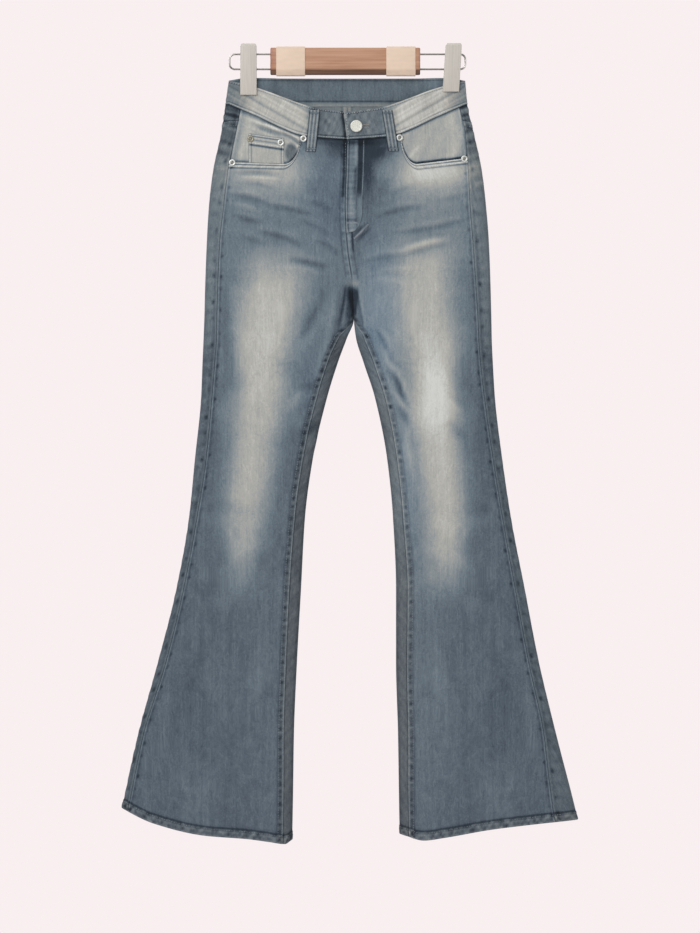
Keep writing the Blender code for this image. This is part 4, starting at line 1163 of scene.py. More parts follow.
def inside_seam(cloth, distance, upper):
    """The felled inseam: a flat ridge between two rows of stitches, puckered like a rope; painted shade
    darkens its dimples, the grooves beside it and the seam line.
    """
    below = step((cloth.drop - (366 if upper else 392)) / 16)
    t = cloth.from_top
    rope = waver(t, 9.5, 0.7 + cloth.half)
    if upper:
        flat = step((9.0 - distance) / 2.4)
        cloth.out += below * (0.55 * flat + 0.35 * rope * ridge(distance, 4.6, 3.2))
        cloth.out -= below * (0.4 * ridge(distance, 2.0, 0.7) + 0.4 * ridge(distance, 7.2, 0.7))
        cloth.wear += below * (0.18 * rope * ridge(distance, 4.8, 2.6) - 0.08 * ridge(distance, 9.0, 1.5))
        pale = 0.2 + 0.1 * waver(t, 9, 1.2)
        cloth.wear += below * (pale * ridge(distance, 1.0, 0.9) - 0.12 * ridge(distance, 5.4, 2.6))
        dimple = np.clip(-waver(t, 13, 0.2 + cloth.half), 0, 1)
        dimple *= 1 - 0.5 * step((cloth.drop - 480) / 200)
        cloth.wear -= below * 0.34 * dimple * ridge(distance, 5.2, 3.0)
        cloth.drab += 0.5 * below * flat
    else:
        cloth.out += below * 0.3 * waver(t, 12, 1.7) * ridge(distance, 3, 4)
        shown = below * step((20 - distance) / 6)
        uneven = 0.04 * waver(t + 1.5 * distance, 17, 1.7)
        cloth.wear += shown * (uneven - 0.05 - 0.09 * ridge(distance, 15, 4))
        cloth.drab += 0.8 * shown
    cloth.out -= below * 0.5 * ridge(distance, 0, 0.5)
    cloth.wear -= 0.20 * ridge(distance, 0, 0.7) * below


def centre_seam(cloth, distance, drops):
    """The rise in front and the seat seam behind, down to the crotch; painted shade darkens the seam line and
    a groove beside it.
    """
    here = step((drops[1] - cloth.drop) / 16) * step((cloth.drop - drops[0]) / 6)
    rope = waver(cloth.drop, 11, 0.3)
    cloth.out += here * (0.4 * ridge(distance, 4, 2.4) + 0.3 * rope * ridge(distance, 4, 3.5))
    cloth.out -= 0.6 * ridge(distance, 0, 0.6) * here
    cloth.wear += here * (0.14 * rope * ridge(distance, 4, 3) + 0.12 * ridge(distance, 1.8, 1.0))
    cloth.wear -= here * (0.22 * ridge(distance, 0, 0.7) + 0.12 * ridge(distance, 8.0, 1.2))


# %% What the pocket mouths and the crotch do


def sewn_mouth(cloth, half):
    """The mouth's turned lip between its two grooves, its edges worn pale and its grooves darkened with
    painted shade, and the shade under the waistband.
    """
    edge = cloth.from_top
    scooped = step((np.abs(cloth.x) - abs(SCOOPS[half].start) + 4) / 6)
    lip = scooped * step((9.0 - edge) / 2.0)
    roll = scooped * waver(cloth.from_first, 11, 1.1 + half)
    cloth.out += 0.5 * lip - 0.35 * scooped * ridge(edge, 2.2, 0.8)
    cloth.out -= 0.35 * scooped * ridge(edge, 7.6, 0.8) - 0.15 * roll * lip
    pale = 0.90 if half < 0 else 1.0
    for middle, reach in ((0.8, 1.2), (5.0, 1.3)):
        cloth.wear += (pale - cloth.wear) * scooped * ridge(edge, middle, reach)
    # painted shade in the lip's two grooves
    cloth.wear -= scooped * (0.52 * ridge(edge, 2.8, 0.75) + 0.46 * ridge(edge, 7.6, 1.0))
    cloth.wear -= scooped * 0.10 * roll * lip
    shade = 0.16 if half < 0 else 0.24
    cloth.wear -= (1 - scooped) * (0.22 * ridge(edge, 0, 1.6) + shade * step((13 - edge) / 10))


def crotch(cloth, half):
    """Deep shade where the legs part, and a worn, drab spot where the seams cross."""
    deep = step((cloth.drop - 333) / 10) * step((392 - cloth.drop) / 26)
    deep *= step((9.5 - np.clip((cloth.drop - 350) / 9, 0, 4) - cloth.from_first) / 5)
    around = step((cloth.drop - 326) / 14) * step((398 - cloth.drop) / 34)
    around *= step(((17 if half < 0 else 9) - cloth.from_first) / 9)
    cloth.wear -= 0.36 * deep + (0.24 if half < 0 else 0.10) * around
    crossing = ridge(cloth.drop, 330, 4.5) * step((12 - cloth.from_first) / 6)
    cloth.wear += (0.07 if half < 0 else 0.16) * crossing
    cloth.drab += 0.5 * crossing


# %% Front panels
fronts, backs, yokes = {}, {}, {}
for half in HALVES:
    cloth = front_panel(half)
    add_wear_and_shade(cloth)
    add_creases(cloth)
    turn_up_hem(cloth)
    side_seam(cloth, cloth.from_last, lower=False)
    inside_seam(cloth, cloth.from_first, upper=True)
    centre_seam(cloth, cloth.from_first, (130, 330))
    # painted shadow of the fly's edge on the right front beside the centre seam; below the fly on the left
    # front, painted shade in a groove beside a pale worn ridge
    if half < 0:
        cloth.wear -= 0.42 * ridge(cloth.from_first, 3.4, 2.4) * step((222 - cloth.drop) / 24)
    else:
        groove = step((cloth.drop - 236) / 12) * step((290 - cloth.drop) / 12)
        cloth.wear -= 0.22 * ridge(cloth.from_first, 7.6, 1.2) * groove
        cloth.wear += 0.14 * ridge(cloth.from_first, 3.6, 1.6) * groove
    sewn_mouth(cloth, half)
    crotch(cloth, half)
    fronts[half] = cloth

# %% Back panels
for half in HALVES:
    cloth = back_panel(half)
    wrap = (cloth.face < 0) & (cloth.from_first < 40)
    knots = waver(cloth.drop + 0.3 * cloth.from_first, 14, 0.9 + half) * step((230 - cloth.drop) / 70) * wrap
    cloth.out += 0.5 * knots
    cloth.wear += 0.16 * knots - (0.10 if half < 0 else 0.02) * wrap * step((220 - cloth.drop) / 50)
    cloth.drab += wrap * (0.30 + 0.3 * step((230 - cloth.drop) / 70))
    add_wear_and_shade(cloth)
    add_creases(cloth)
    turn_up_hem(cloth)
    side_seam(cloth, cloth.from_first, lower=True)
    inside_seam(cloth, cloth.from_last, upper=False)
    centre_seam(cloth, cloth.from_last, (150, 375))
    flat = step((8.5 - cloth.from_top) / 2.0)
    cloth.out += 0.4 * flat - 0.3 * ridge(cloth.from_top, 1.8, 0.7) - 0.3 * ridge(cloth.from_top, 7.4, 0.7)
    cloth.wear += 0.12 * flat * waver(cloth.from_first, 10, 0.8) + 0.1 * ridge(cloth.from_top, 1.2, 1.0)
    # painted shade along the yoke seam and beside the felled strip
    cloth.wear -= 0.25 * ridge(cloth.from_top, 0, 0.8) + 0.14 * ridge(cloth.from_top, 9.2, 1.2)
    backs[half] = cloth

print("front grid:", fronts[1].turn.shape, "back grid:", backs[1].turn.shape)

# %% [markdown]
# ## Yokes and waistband
#
# The yokes shape the seat: they are wedges between the waistband and the back panels, and their
# lower seam is felled. The waistband is one straight strip, doubled, that closes at the front: its
# left end, with the buttonhole, laps over the right end, which goes on beneath it. It is worn pale
# over both hips and keeps its dye at the centre front and inside.

# %% Yokes


def back_yoke(half):
    turn = back_turns(half, YOKES[0].drop)
    top = band_edges(half, turn)[1] + 2 * EDGE
    seam = YOKE(turn) - EDGE
    turns, drops = [], []
    for k in np.linspace(0, 1, 24):
        drop = top + (seam - top) * k
        row = turn.copy()
        row[0] = at_side(half, drop[0], half * EDGE)
        turns.append(row)
        drops.append(drop)
    return Cloth(half, np.array(turns), np.array(drops))


for half in HALVES:
    cloth = back_yoke(half)
    cloth.wear[:] = 0.26
    strip = step((46 - cloth.from_first) / 20) * np.where(cloth.face < 0, 1.0, 0.35)
    steps_down = waver(cloth.drop + 0.25 * cloth.from_first, 10, 0.9 + half)
    cloth.out += 0.9 * steps_down * strip
    cloth.wear += (0.24 * steps_down - (0.18 if half < 0 else 0.10)) * strip
    cloth.drab += 0.5 * strip
    side_seam(cloth, cloth.from_first, lower=True)
    centre_seam(cloth, cloth.from_last, (60, 200))
    cloth.wear += 0.10 * ridge(cloth.x, half * 90, 50) * (cloth.face > 0)
    # inside: a pale ridge and a line of painted shade at the centre back seam; outside: painted shade under
    # the waistband and along the yoke seam
    cloth.wear_inside += 0.18 * ridge(cloth.from_last, 3.0, 2.4) - 0.2 * ridge(cloth.from_last, 7.0, 1.0)
    cloth.wear -= 0.26 * ridge(cloth.from_top, 0, 1.4) + 0.2 * ridge(cloth.from_end, 0, 0.7)
    yokes[half] = cloth

# %% The waistband
LAP_TOP, LAP_BOTTOM, BUTTON_DROP = -5.7, -0.8, 110.3
SINK = BAND_WALL + GAP


def band_grid(rows=44):
    """Stations from the lapped end round the left side, the back and the right side, then on
    beneath the lap. Columns crowd at the side folds."""
    around = closer(0.004, 1.996, 190, crowd=0.0)
    lap = np.linspace(LAP_TOP, LAP_BOTTOM, 5)
    under = np.linspace(0.0, 34, 26)
    k = crowded(rows, 0.45)[:, None]
    lap_x = lap[None, :] + (LAP_BOTTOM - LAP_TOP) * k * np.linspace(1, 0, 5)[None, :]
    lap_half = np.full(lap_x.shape, -1.0)
    lap_turn = turn_at(-1, lap_x, BUTTON_DROP)
    left_half = np.full((rows, len(around)), 1.0)
    left_turn = np.repeat(around[None, :], rows, axis=0)
    right_half = -left_half
    right_turn = left_turn[:, ::-1]
    under_half = np.full((rows, len(under)), 1.0)
    under_turn = np.repeat(turn_at(1, under, BUTTON_DROP)[None, :], rows, axis=0)
    half = np.concatenate([lap_half, left_half, right_half, under_half], axis=1)
    turn = np.concatenate([lap_turn, left_turn, right_turn, under_turn], axis=1)
    drop = np.empty_like(turn)
    for sign in HALVES:
        top, bottom = band_edges(sign, turn)
        drop = np.where(half == sign, top + (bottom - top) * k, drop)
    return half, turn, drop, len(lap), len(under)


half, turn, drop, lap_columns, under_columns = band_grid()
band = Cloth(half, turn, drop, BAND_OUT, BAND_WALL)
right_part = np.arange(turn.shape[1]) >= lap_columns + (turn.shape[1] - lap_columns - under_columns) // 2
share_down = crowded(turn.shape[0], 0.45)[:, None]
lap_edge = LAP_TOP + (LAP_BOTTOM - LAP_TOP) * share_down
beneath = right_part & (band.face[0] < 0)  # the columns that pass under the lap
band.out -= SINK * step((band.x - lap_edge + 4.0) / 2.5) * beneath * (band.x > -20)

in_front = band.face < 0
beside = np.abs(band.x)
band.wear[:] = np.where(in_front, 0.30, 0.34)
pale = step((beside - 44) / 16) * (1 - 0.74 * step((beside - 128) / 34)) * in_front
band.wear += (np.where(band.half < 0, 0.78, 0.85) - band.wear) * pale
over = step((beside - 40) / 20) * in_front
streak = waver(band.drop + 0.58 * beside, 9, 1.4)
pull = waver(band.drop + 0.62 * beside, 27, 0.5)
band.wear += over * (0.11 * streak + 0.08 * pull - 0.04)
band.wear += over * step((beside - 120) / 20) * 0.08 * waver(band.drop + 0.7 * beside, 15, 0.2)
band.out += 0.3 * streak * over * step(band.from_top / 4) * step(band.from_end / 4)
crumple = waver(band.x, 11, 0.2) * waver(band.drop + 0.3 * band.x, 17, 1.0) * (beside < 44) * in_front
band.wear += 0.20 * crumple
band.out += 0.25 * crumple
# painted shade in the groove of each stitch row, with pale worn edges beside them
for distance, inset in ((band.from_top, 2.8), (band.from_end, 4.4)):
    band.out -= 0.35 * ridge(distance, inset, 0.8) + 0.5 * ridge(distance, 0, 0.5)
    band.wear -= 0.26 * ridge(distance, inset, 0.8)
    band.wear += 0.12 * ridge(distance, inset - 2.0, 0.9)
# painted shade along the lower seam and the top edge
band.wear -= 0.52 * ridge(band.from_end, 0, 1.2) + 0.10 * ridge(band.from_top, 0, 0.6)
band.drab += in_front * (0.12 + 0.4 * step((beside - 130) / 20) + 0.38 * step((48 - beside) / 8))
# inside: painted shade in the top stitch groove and in a line above the pale strip at the bottom
band.wear_inside[:] = 0.30 + 0.12 * ridge(band.from_top, 0.8, 1.0) - 0.18 * ridge(band.from_top, 2.8, 0.8)
band.wear_inside += 0.03 * waver(band.x, 23, 0.7) + 0.24 * step((5.6 - band.from_end) / 2)
band.wear_inside -= 0.26 * ridge(band.from_end, 7.4, 0.9)
# painted shadow round the front belt loops, together with the dye they keep from wear
for loop_x in (-48.5, 60.0):
    band.wear -= 0.20 * ridge(band.x, loop_x, 9.5) * in_front
band.wear += 0.16 * ridge(band.from_first, 1.0, 1.2) * (band.from_first < 5)
# painted shadow of the lap's edge on the end that runs beneath it
band.wear -= 0.30 * ridge(band.x, lap_edge - 1.4, 3.4) * right_part[None, :] * in_front
band.out -= 0.35 * ridge(band.from_first, 3.0, 0.7)

# %% [markdown]
# ## What is sewn on to the panels
#
# The pocket facings lie behind the scooped mouths and carry the coin pocket. The fly is a doubled
# strip with a J-shaped edge. The back pockets are five-sided patches. The belt loops are strips
# folded in three, so they carry three raised lines, and are tacked down at both ends.

# %% Fly
FLY_WIDTH, FLY_END, FLY_TURN = 24.0, 259.0, 34.0
PATCH_WALL, FACING_WALL = 1.0, 1.0


def fly_piece():
    k = np.linspace(0, 1, 84)[:, None]
    s = np.linspace(0, 1, 24)[None, :]
    top = float(WAIST_BOTTOM(12)) + GAP + 0.6
    drop = top + (FLY_END - top) * k + 0 * s
    bend = np.clip((drop - (FLY_END - FLY_TURN)) / FLY_TURN, 0, 1)
    width = 4 + (FLY_WIDTH - 4) * np.sqrt(1 - bend**2)
    x = inner_x(1, drop) + 0.3 + width * s
    return Cloth(1, turn_at(1, x, drop), drop, GAP + PATCH_WALL, PATCH_WALL)


fly = fly_piece()
seam_run = fly.x - inner_x(1, fly.drop)
strip = step((14.5 - seam_run) / 1.6)
low = step((fly.drop - 196) / 18)
tape = waver(fly.drop, 13, 0.4)
knots = waver(fly.drop, 8, 1.0)
fly.out += 0.5 * strip - 0.45 * ridge(seam_run, 18.6, 2.6) + 0.2 * knots * strip
fly.out += 0.35 * tape * ridge(fly.from_last, 1.5, 3) - 0.9 * ridge(fly.from_last, 0, 0.6)
fly.wear[:] = 0.28 + 0.06 * low + 0.07 * knots * strip + 0.04 * waver(fly.drop, 37, 0.3)
# a pale worn edge at the seam, and painted shade in the groove beside it
fly.wear += 0.16 * ridge(seam_run, 1.0, 0.9) - 0.26 * ridge(seam_run, 2.9, 0.8)
# a paler strip, and painted shade along its outer edge
fly.wear += 0.09 * low * ridge(seam_run, 8.5, 3.8) - 0.16 * low * ridge(seam_run, 15.4, 0.9)
lit = step((171 - fly.drop) / 8)
fly.wear += (0.15 * lit - 0.22 * (1 - lit) * (1 - low)) * ridge(seam_run, 12.8, 2.4)
# painted shade in the hollow beside the J line
fly.wear -= 0.44 * (1 - low) * step(1.8 - np.abs(seam_run - 19.2) / 2.6)
fly.wear += (0.26 - 0.22 * low) * ridge(fly.from_last, 1.0, 0.8) * (0.7 + 0.3 * tape)
# painted shade under the waistband and along the J edge
fly.wear -= 0.34 * step((11 - fly.from_top) / 8) + 0.10 * ridge(fly.from_last, 0, 0.4)
# painted shade just above the bar tack across the fly
fly.wear -= 0.30 * ridge(fly.drop, 241.2, 1.6) * step((16 - seam_run) / 3)
add_creases(fly)

# %% Pocket facings
FACING_SINK = CLOTH + GAP
FACING_RISE, FACING_TOP = 16.0, 86.0


def mouth(half, x):
    """The drop of a front panel's upper edge at x."""
    scoop = SCOOPS[half]
    start_drop = float(WAIST_BOTTOM(abs(scoop.start))) + BAND_CLEAR
    across, along, corner = half * x, half * scoop.start, half * scoop.corner
    side = half * float(seam_x(half, np.array(scoop.side_drop)))
    angle = np.arccos(1 - np.clip((across - along) / (corner - along), 0, 1))
    arc = start_drop + (scoop.corner_drop - start_drop) * np.sin(angle)
    level = scoop.corner_drop + (scoop.side_drop - scoop.corner_drop) * (across - corner) / (side - corner)
    return np.where(across <= along, WAIST_BOTTOM(across) + BAND_CLEAR, np.where(across < corner, arc, level))


def facing(half):
    scoop = SCOOPS[half]
    k, s = np.linspace(0, 1, 46)[:, None], np.linspace(0, 1, 64)[None, :]
    inner = scoop.start - half * SCOOP_TUCK
    sides = [
        float(seam_x(half, np.array(d))) - half * EDGE for d in (FACING_TOP, scoop.side_drop + SCOOP_TUCK)
    ]
    x_top, x_low = (side + (inner - side) * s for side in sides)
    top = WAIST_BOTTOM(np.abs(x_top)) + BAND_CLEAR - 0.4
    low = np.where(half * x_low > half * scoop.corner, mouth(half, x_low), scoop.corner_drop) + SCOOP_TUCK
    x, drop = x_top + (x_low - x_top) * k, top + (low - top) * k
    x[:, 0] = seam_x(half, drop[:, 0]) - half * EDGE
    near_side = step(1 - np.abs(seam_x(half, drop) - x) / FACING_RISE)
    above = step((low - SCOOP_TUCK - 3 - drop) / 22)
    out = -FACING_SINK * (1 - near_side * above)
    return Cloth(half, turn_at(half, x, drop), drop, out, FACING_WALL)


facings = {}
for half in HALVES:
    cloth = facing(half)
    cloth.wear[:] = 0.72 if half < 0 else 0.67
    cloth.drab[:] = 0.03
    cloth.wear += 0.05 * waver(cloth.x + 0.5 * cloth.drop, 27, 0.6)
    cloth.wear -= 0.20 * step((14 - cloth.from_first) / 10) * (1 if half < 0 else 0.5)
    # painted shade on the facing just above the pocket mouth
    depth_left = mouth(half, cloth.x) - cloth.drop
    cloth.wear -= (0.36 if half < 0 else 0.72) * step((4.4 - depth_left) / 2.4)
    cloth.wear -= 0.08 * step((9 - depth_left) / 8)
    # a pale rope and a line of painted shade at the side seam
    cloth.wear += 0.18 * ridge(cloth.from_first, 1.8, 1.0) - 0.34 * ridge(cloth.from_first, 0, 0.8)
    # painted shade under the waistband
    cloth.wear -= 0.46 * ridge(cloth.from_top, 0.2, 1.9)
    if half < 0:
        # painted shade in a hollow near the coin pocket, browner too
        hollow = step((1.6 - np.hypot((cloth.x + 79) / 7, (cloth.drop - 147) / 11)) / 0.8)
        cloth.wear -= 0.44 * hollow
        cloth.drab += 0.6 * hollow
        fan = step((30 - cloth.from_top) / 20)
        pleat = waver(cloth.drop - 0.4 * cloth.x, 11, 1.0) * fan
        cloth.out += 0.4 * pleat
        cloth.wear += 0.12 * pleat
    else:
        # a painted highlight along a crumple
        slant = cloth.x - 93 + 0.8 * (cloth.drop - 146)
        cloth.wear += 0.14 * ridge(slant, 0, 4) * step((cloth.drop - 134) / 8)
        cloth.wear += 0.05 * ridge(cloth.x, 146, 6)
    add_creases(cloth)
    cloth.out -= 0.5 * ridge(cloth.from_first, 0, 0.6)
    facings[half] = cloth

# %% Coin pocket
COIN = ((-138.0, 120.0), (-89.0, 127.2))


def coin_piece():
    (x_a, d_a), (x_b, d_b) = COIN
    k, s = np.linspace(0, 1, 48)[:, None], crowded(40, 0.4)[None, :]
    x, top = x_a + (x_b - x_a) * s, d_a + (d_b - d_a) * s
    low = mouth(-1, x) - 2 * GAP
    drop = top + (low - top) * k
    x = x + 0 * k
    return Cloth(-1, turn_at(-1, x, drop), drop, GAP - FACING_SINK + PATCH_WALL, PATCH_WALL)


coin = coin_piece()
hem_band = step((14.6 - coin.from_top) / 1.4)
coin.out += 0.6 * hem_band - 0.3 * ridge(coin.from_top, 2.9, 0.7) - 0.3 * ridge(coin.from_top, 11.8, 0.7)
coin.wear[:] = 0.70 + 0.03 * hem_band
coin.drab[:] = 0.10
coin.wear += 0.20 * ridge(coin.from_top, 1.4, 0.9) + 0.20 * ridge(coin.from_top, 12.8, 0.9)
# painted shade in the grooves of the top band, below the band and along the top edge
coin.wear -= 0.52 * ridge(coin.from_top, 3.4, 1.0) + 0.30 * ridge(coin.from_top, 8.6, 1.4)
coin.wear -= 0.62 * ridge(coin.from_top, 15.8, 1.5) + 0.52 * ridge(coin.from_top, 0, 0.9)
# pale worn edges and painted shade along both sides
for distance in (coin.from_first, coin.from_last):
    coin.wear += 0.22 * ridge(distance, 1.3, 0.9) - 0.40 * ridge(distance, 0, 0.6)
    coin.wear -= 0.30 * ridge(distance, 3.4, 0.9)
    coin.out -= 0.6 * ridge(distance, 0, 0.7)

# %% Back pockets
Patch = namedtuple("Patch", "centre top width narrow side point lean")
BACK_POCKET = Patch(94.0, 152.0, 134.0, 116.0, 118.0, 24.0, 4.0)


def back_pocket(half):
    p = BACK_POCKET
    k, u = np.linspace(0, 1, 62)[:, None], np.linspace(-1, 1, 57)[None, :]
    top = p.top + p.lean * u
    low = p.top + p.side + p.lean * u + p.point * (1 - np.abs(u))
    drop = top + (low - top) * k
    x = half * (p.centre + u * (p.width + (p.narrow - p.width) * k) / 2)
    cloth = Cloth(half, 2 - turn_at(half, x, drop), drop, GAP + PATCH_WALL, PATCH_WALL)
    hem_band = step((13 - cloth.from_top) / 1.4)
    edge = np.minimum(np.minimum(cloth.from_first, cloth.from_last), cloth.from_end)
    rope = waver(cloth.drop + 0.7 * cloth.x, 10, 0.5)
    cloth.out += 0.5 * hem_band - 0.3 * ridge(cloth.from_top, 2, 0.8) - 0.3 * ridge(cloth.from_top, 10.8, 0.8)
    cloth.out -= 0.3 * ridge(edge, 1.8, 0.7) + 0.25 * ridge(edge, 7.6, 0.7) + 0.6 * ridge(edge, 0, 0.6)
    cloth.out += 0.2 * rope * ridge(edge, 4, 4)
    middle = np.hypot((cloth.x - half * 94) / 46, (cloth.drop - 214) / 50)
    cloth.wear[:] = 0.34 + 0.20 * np.exp(-(middle**2))
    # pale worn edges, and painted shade in a line inside the stitching and below the hem band
    cloth.wear += 0.13 * ridge(edge, 0.6, 1.1) + 0.07 * rope * ridge(edge, 4, 4) - 0.07 * ridge(edge, 9, 1.4)
    cloth.wear += 0.10 * ridge(cloth.from_top, 0.8, 1.2) - 0.10 * ridge(cloth.from_top, 12.6, 1.2)
    return cloth


pockets = {half: back_pocket(half) for half in HALVES}

# %% Belt loops
LOOP_WIDTH, LOOP_WALL, LOOP_ARCH = 14.6, 1.6, 0.7
Loop = namedtuple("Loop", "name face x_top top x_bottom bottom wear")
LOOPS = (
    Loop("belt_loop_front_right", -1, -45.6, 88.0, -51.4, 145.6, 0.38),
    Loop("belt_loop_front_left", -1, 55.3, 88.0, 64.3, 145.0, 0.37),
    Loop("belt_loop_back_right", 1, -98.0, 43.0, -96.0, 99.0, 0.36),
    Loop("belt_loop_back_left", 1, 98.0, 43.0, 96.0, 99.0, 0.36),
    Loop("belt_loop_centre_back", 1, -0.7, 43.0, -0.7, 99.0, 0.34),
)


def belt_loop(loop):
    k, s = np.linspace(0, 1, 40)[:, None], np.linspace(-1, 1, 19)[None, :]
    drop = loop.top + (loop.bottom - loop.top) * k + 0 * s
    middle = loop.x_top + (loop.x_bottom - loop.x_top) * k
    edge = WAIST_BOTTOM(np.abs(middle)) if loop.face < 0 else BACK_BAND_BOTTOM
    off_band = step((drop - edge - 4) / 5)
    arch = LOOP_ARCH * np.sin(np.pi * np.minimum(k / 0.85, 1))
    out = GAP + BAND_OUT * (1 - off_band) + arch + LOOP_WALL
    half, turn = front_place(middle + s * LOOP_WIDTH / 2, drop)
    turn = turn if loop.face < 0 else 2 - turn
    cloth = Cloth(half, turn, drop, out, LOOP_WALL)
    lines = np.cos(s * 3 * np.pi)
    cloth.out += 0.32 * lines - 0.5 * ridge(1 - np.abs(s), 0, 0.1)
    # paler on the three raised lines, with painted shade between them and along both edges
    cloth.wear[:] = loop.wear + 0.19 * lines + 0.06 * waver(drop, 11, 0.7)
    cloth.wear -= 0.36 * ridge(1 - np.abs(s), 0, 0.12)
    cloth.drab[:] = 0.25
    # pale worn folds at the ends, painted shade at the tacks and a painted shadow at the lower end
    ends = ridge(cloth.from_top, 3.2, 1.6) + ridge(cloth.from_end, 3.2, 1.6)
    cloth.out -= 0.45 * ends
    cloth.wear += 0.14 * (ridge(cloth.from_top, 1.0, 1.0) + ridge(cloth.from_end, 1.0, 1.0)) - 0.26 * ends
    cloth.wear -= 0.3 * ridge(cloth.from_end, 0, 0.7)
    return cloth


# %% Build the shells
sheets = {}
for half, side in HALVES.items():
    for name, cloths in (("front", fronts), ("back", backs), ("yoke", yokes), ("back_pocket", pockets)):
        sheets[f"{name}_{side}"] = cloths[half].build(f"{name}_{side}")
    sheets[f"pocket_facing_{side}"] = facings[half].build(f"pocket_facing_{side}", "faded_denim")
sheets["waistband"] = band.build("waistband", "faded_denim")
sheets["fly"] = fly.build("fly")
sheets["coin_pocket"] = coin.build("coin_pocket", "faded_denim")
loops = {loop.name: belt_loop(loop) for loop in LOOPS}
for name, cloth in loops.items():
    sheets[name] = cloth.build(name)
print("sheets:", len(sheets), "triangles:", sum(2 * len(o.data.polygons) for o in sheets.values()))

# %% [markdown]
# ## Topstitching
#
# Jeans are sewn with thick thread in long stitches, and here the thread is dyed close to the
# cloth, so the rows read as fine pale dashes. Each stitch is a small spindle of thread with both
# ends pulled into the cloth. The rows follow lines at a fixed distance from a panel's edge, on
# the puckered surface, and each panel's stitches are one mesh.

# %% One stitch, many times
STITCH_PITCH, STITCH_LENGTH, STITCH_RADIUS, STITCH_LIFT = 3.5, 2.7, 0.42, 0.12
SIDES = 6


def spindles(middle, along, out, length, radius, lift):
    """Short threads, thickest halfway along, as rings of points: one row for each thread."""
    along = along / np.linalg.norm(along, axis=1, keepdims=True)
    side = np.cross(out, along)
    side /= np.linalg.norm(side, axis=1, keepdims=True)
    out = np.cross(along, side)
    angle = np.linspace(0, 2 * np.pi, SIDES, endpoint=False)[None, :, None]
    spokes = side[:, None, :] * np.cos(angle) + out[:, None, :] * np.sin(angle)
    rings = []
    for shift_along, swell, rise in ((-0.5, 0.35, -0.25), (0.0, 1.0, lift), (0.5, 0.35, -0.25)):
        centre = middle + along * shift_along * length + out * rise
        rings.append(centre[:, None, :] + spokes * radius * swell)
    return np.stack(rings, axis=1)


def row_of(line, pitch=STITCH_PITCH, length=STITCH_LENGTH, radius=STITCH_RADIUS):
    """Stitches along a line of points and normals."""
    points, normals = line
    if len(points) < 2:
        return np.empty((0, 3, SIDES, 3))
    run = np.concatenate([[0], np.cumsum(np.linalg.norm(np.diff(points, axis=0), axis=1))])
    count = int((run[-1] - length) // pitch)
    middle = (np.arange(count) + 0.5) * run[-1] / max(count, 1)

    def at(values, where):
        return np.stack([np.interp(where, run, values[:, k]) for k in range(3)], axis=-1)

    along = at(points, middle + length / 2) - at(points, middle - length / 2)
    return spindles(at(points, middle), along, at(normals, middle), length, radius, STITCH_LIFT)


def thread_mesh(name, lines, material, slot="denim"):
    """All the stitches of one panel as a single mesh."""
    stacks = np.concatenate(lines)
    count = len(stacks)
    points = stacks.reshape(-1, 3) * MM
    quads = []
    for ring in range(2):
        for i in range(SIDES):
            a, b = ring * SIDES + i, ring * SIDES + (i + 1) % SIDES
            quads.append((a, b, b + SIDES, a + SIDES))
    last = 2 * SIDES
    quads += [(3, 2, 1, 0), (0, 5, 4, 3)]
    quads += [(last, last + 1, last + 2, last + 3), (last + 3, last + 4, last + 5, last)]
    quads = np.array(quads)[None] + np.arange(count)[:, None, None] * 3 * SIDES
    data = mesh_from(name, points, quads.reshape(-1, 4))
    data.materials.append(material)
    data.shade_smooth()
    return place(name, data, slot)


def thread_material(name, dark, pale):
    material, tree, shader = new_material(name)
    shader.inputs["Roughness"].default_value = 0.7
    at = add(tree, "TexCoord").outputs["Object"]
    noise = add(tree, "TexNoise", Vector=at, Scale=90.0, Detail=2.0).outputs["Fac"]
    tones = [(0.3, linear(*dark)), (0.7, linear(*pale))]
    tree.links.new(ramp(tree, noise, tones), shader.inputs["Base Color"])
    return material


DIM_THREAD = thread_material("dim_thread", (84, 96, 108), (132, 143, 152))
PALE_THREAD = thread_material("pale_thread", (142, 150, 154), (196, 200, 200))
GREY_THREAD = thread_material("grey_thread", (116, 124, 134), (158, 165, 172))
TAN_THREAD = thread_material("tan_thread", (118, 115, 110), (150, 146, 140))

# %% Rows of stitches on every panel
sewn = {name: [] for name in sheets}
for half, side in HALVES.items():
    front, back = fronts[half], backs[half]
    rows = [
        row_of(front.down_line(2.0, top=272 if half < 0 else 276)),
        row_of(front.down_line(7.2, top=276)),
        row_of(front.cross_line(10.2, end=True)),
    ]
    scoop_first = abs(SCOOPS[half].start) + 2
    mouth_rows = [row_of(front.cross_line(d, first=scoop_first)) for d in (1.6, 5.6)]
    sewn[f"front_{side}"].append(thread_mesh(f"stitches_mouth_{side}", mouth_rows, PALE_THREAD))
    if half < 0:
        rows.append(row_of(front.down_line(2.2, top=2, end=960)))
    sewn[f"front_{side}"].append(thread_mesh(f"stitches_front_{side}", rows, DIM_THREAD))

    rows = [row_of(back.cross_line(d)) for d in (1.8, 7.4)]
    rows.append(row_of(back.cross_line(10.2, end=True)))
    if half < 0:
        rows += [row_of(back.down_line(d, last=True, end=760)) for d in (1.8, 7.4)]
    sewn[f"back_{side}"].append(thread_mesh(f"stitches_back_{side}", rows, DIM_THREAD))

    pocket = pockets[half]
    rows = [row_of(pocket.cross_line(d, first=1.5, last=1.5)) for d in (2.0, 10.8)]
    rows += [row_of(pocket.cross_line(d, end=True, first=d, last=d)) for d in (1.8, 7.6)]
    rows += [
        row_of(pocket.down_line(d, last=last, top=1.5, end=d)) for d in (1.8, 7.6) for last in (False, True)
    ]
    sewn[f"back_pocket_{side}"].append(thread_mesh(f"stitches_back_pocket_{side}", rows, DIM_THREAD))

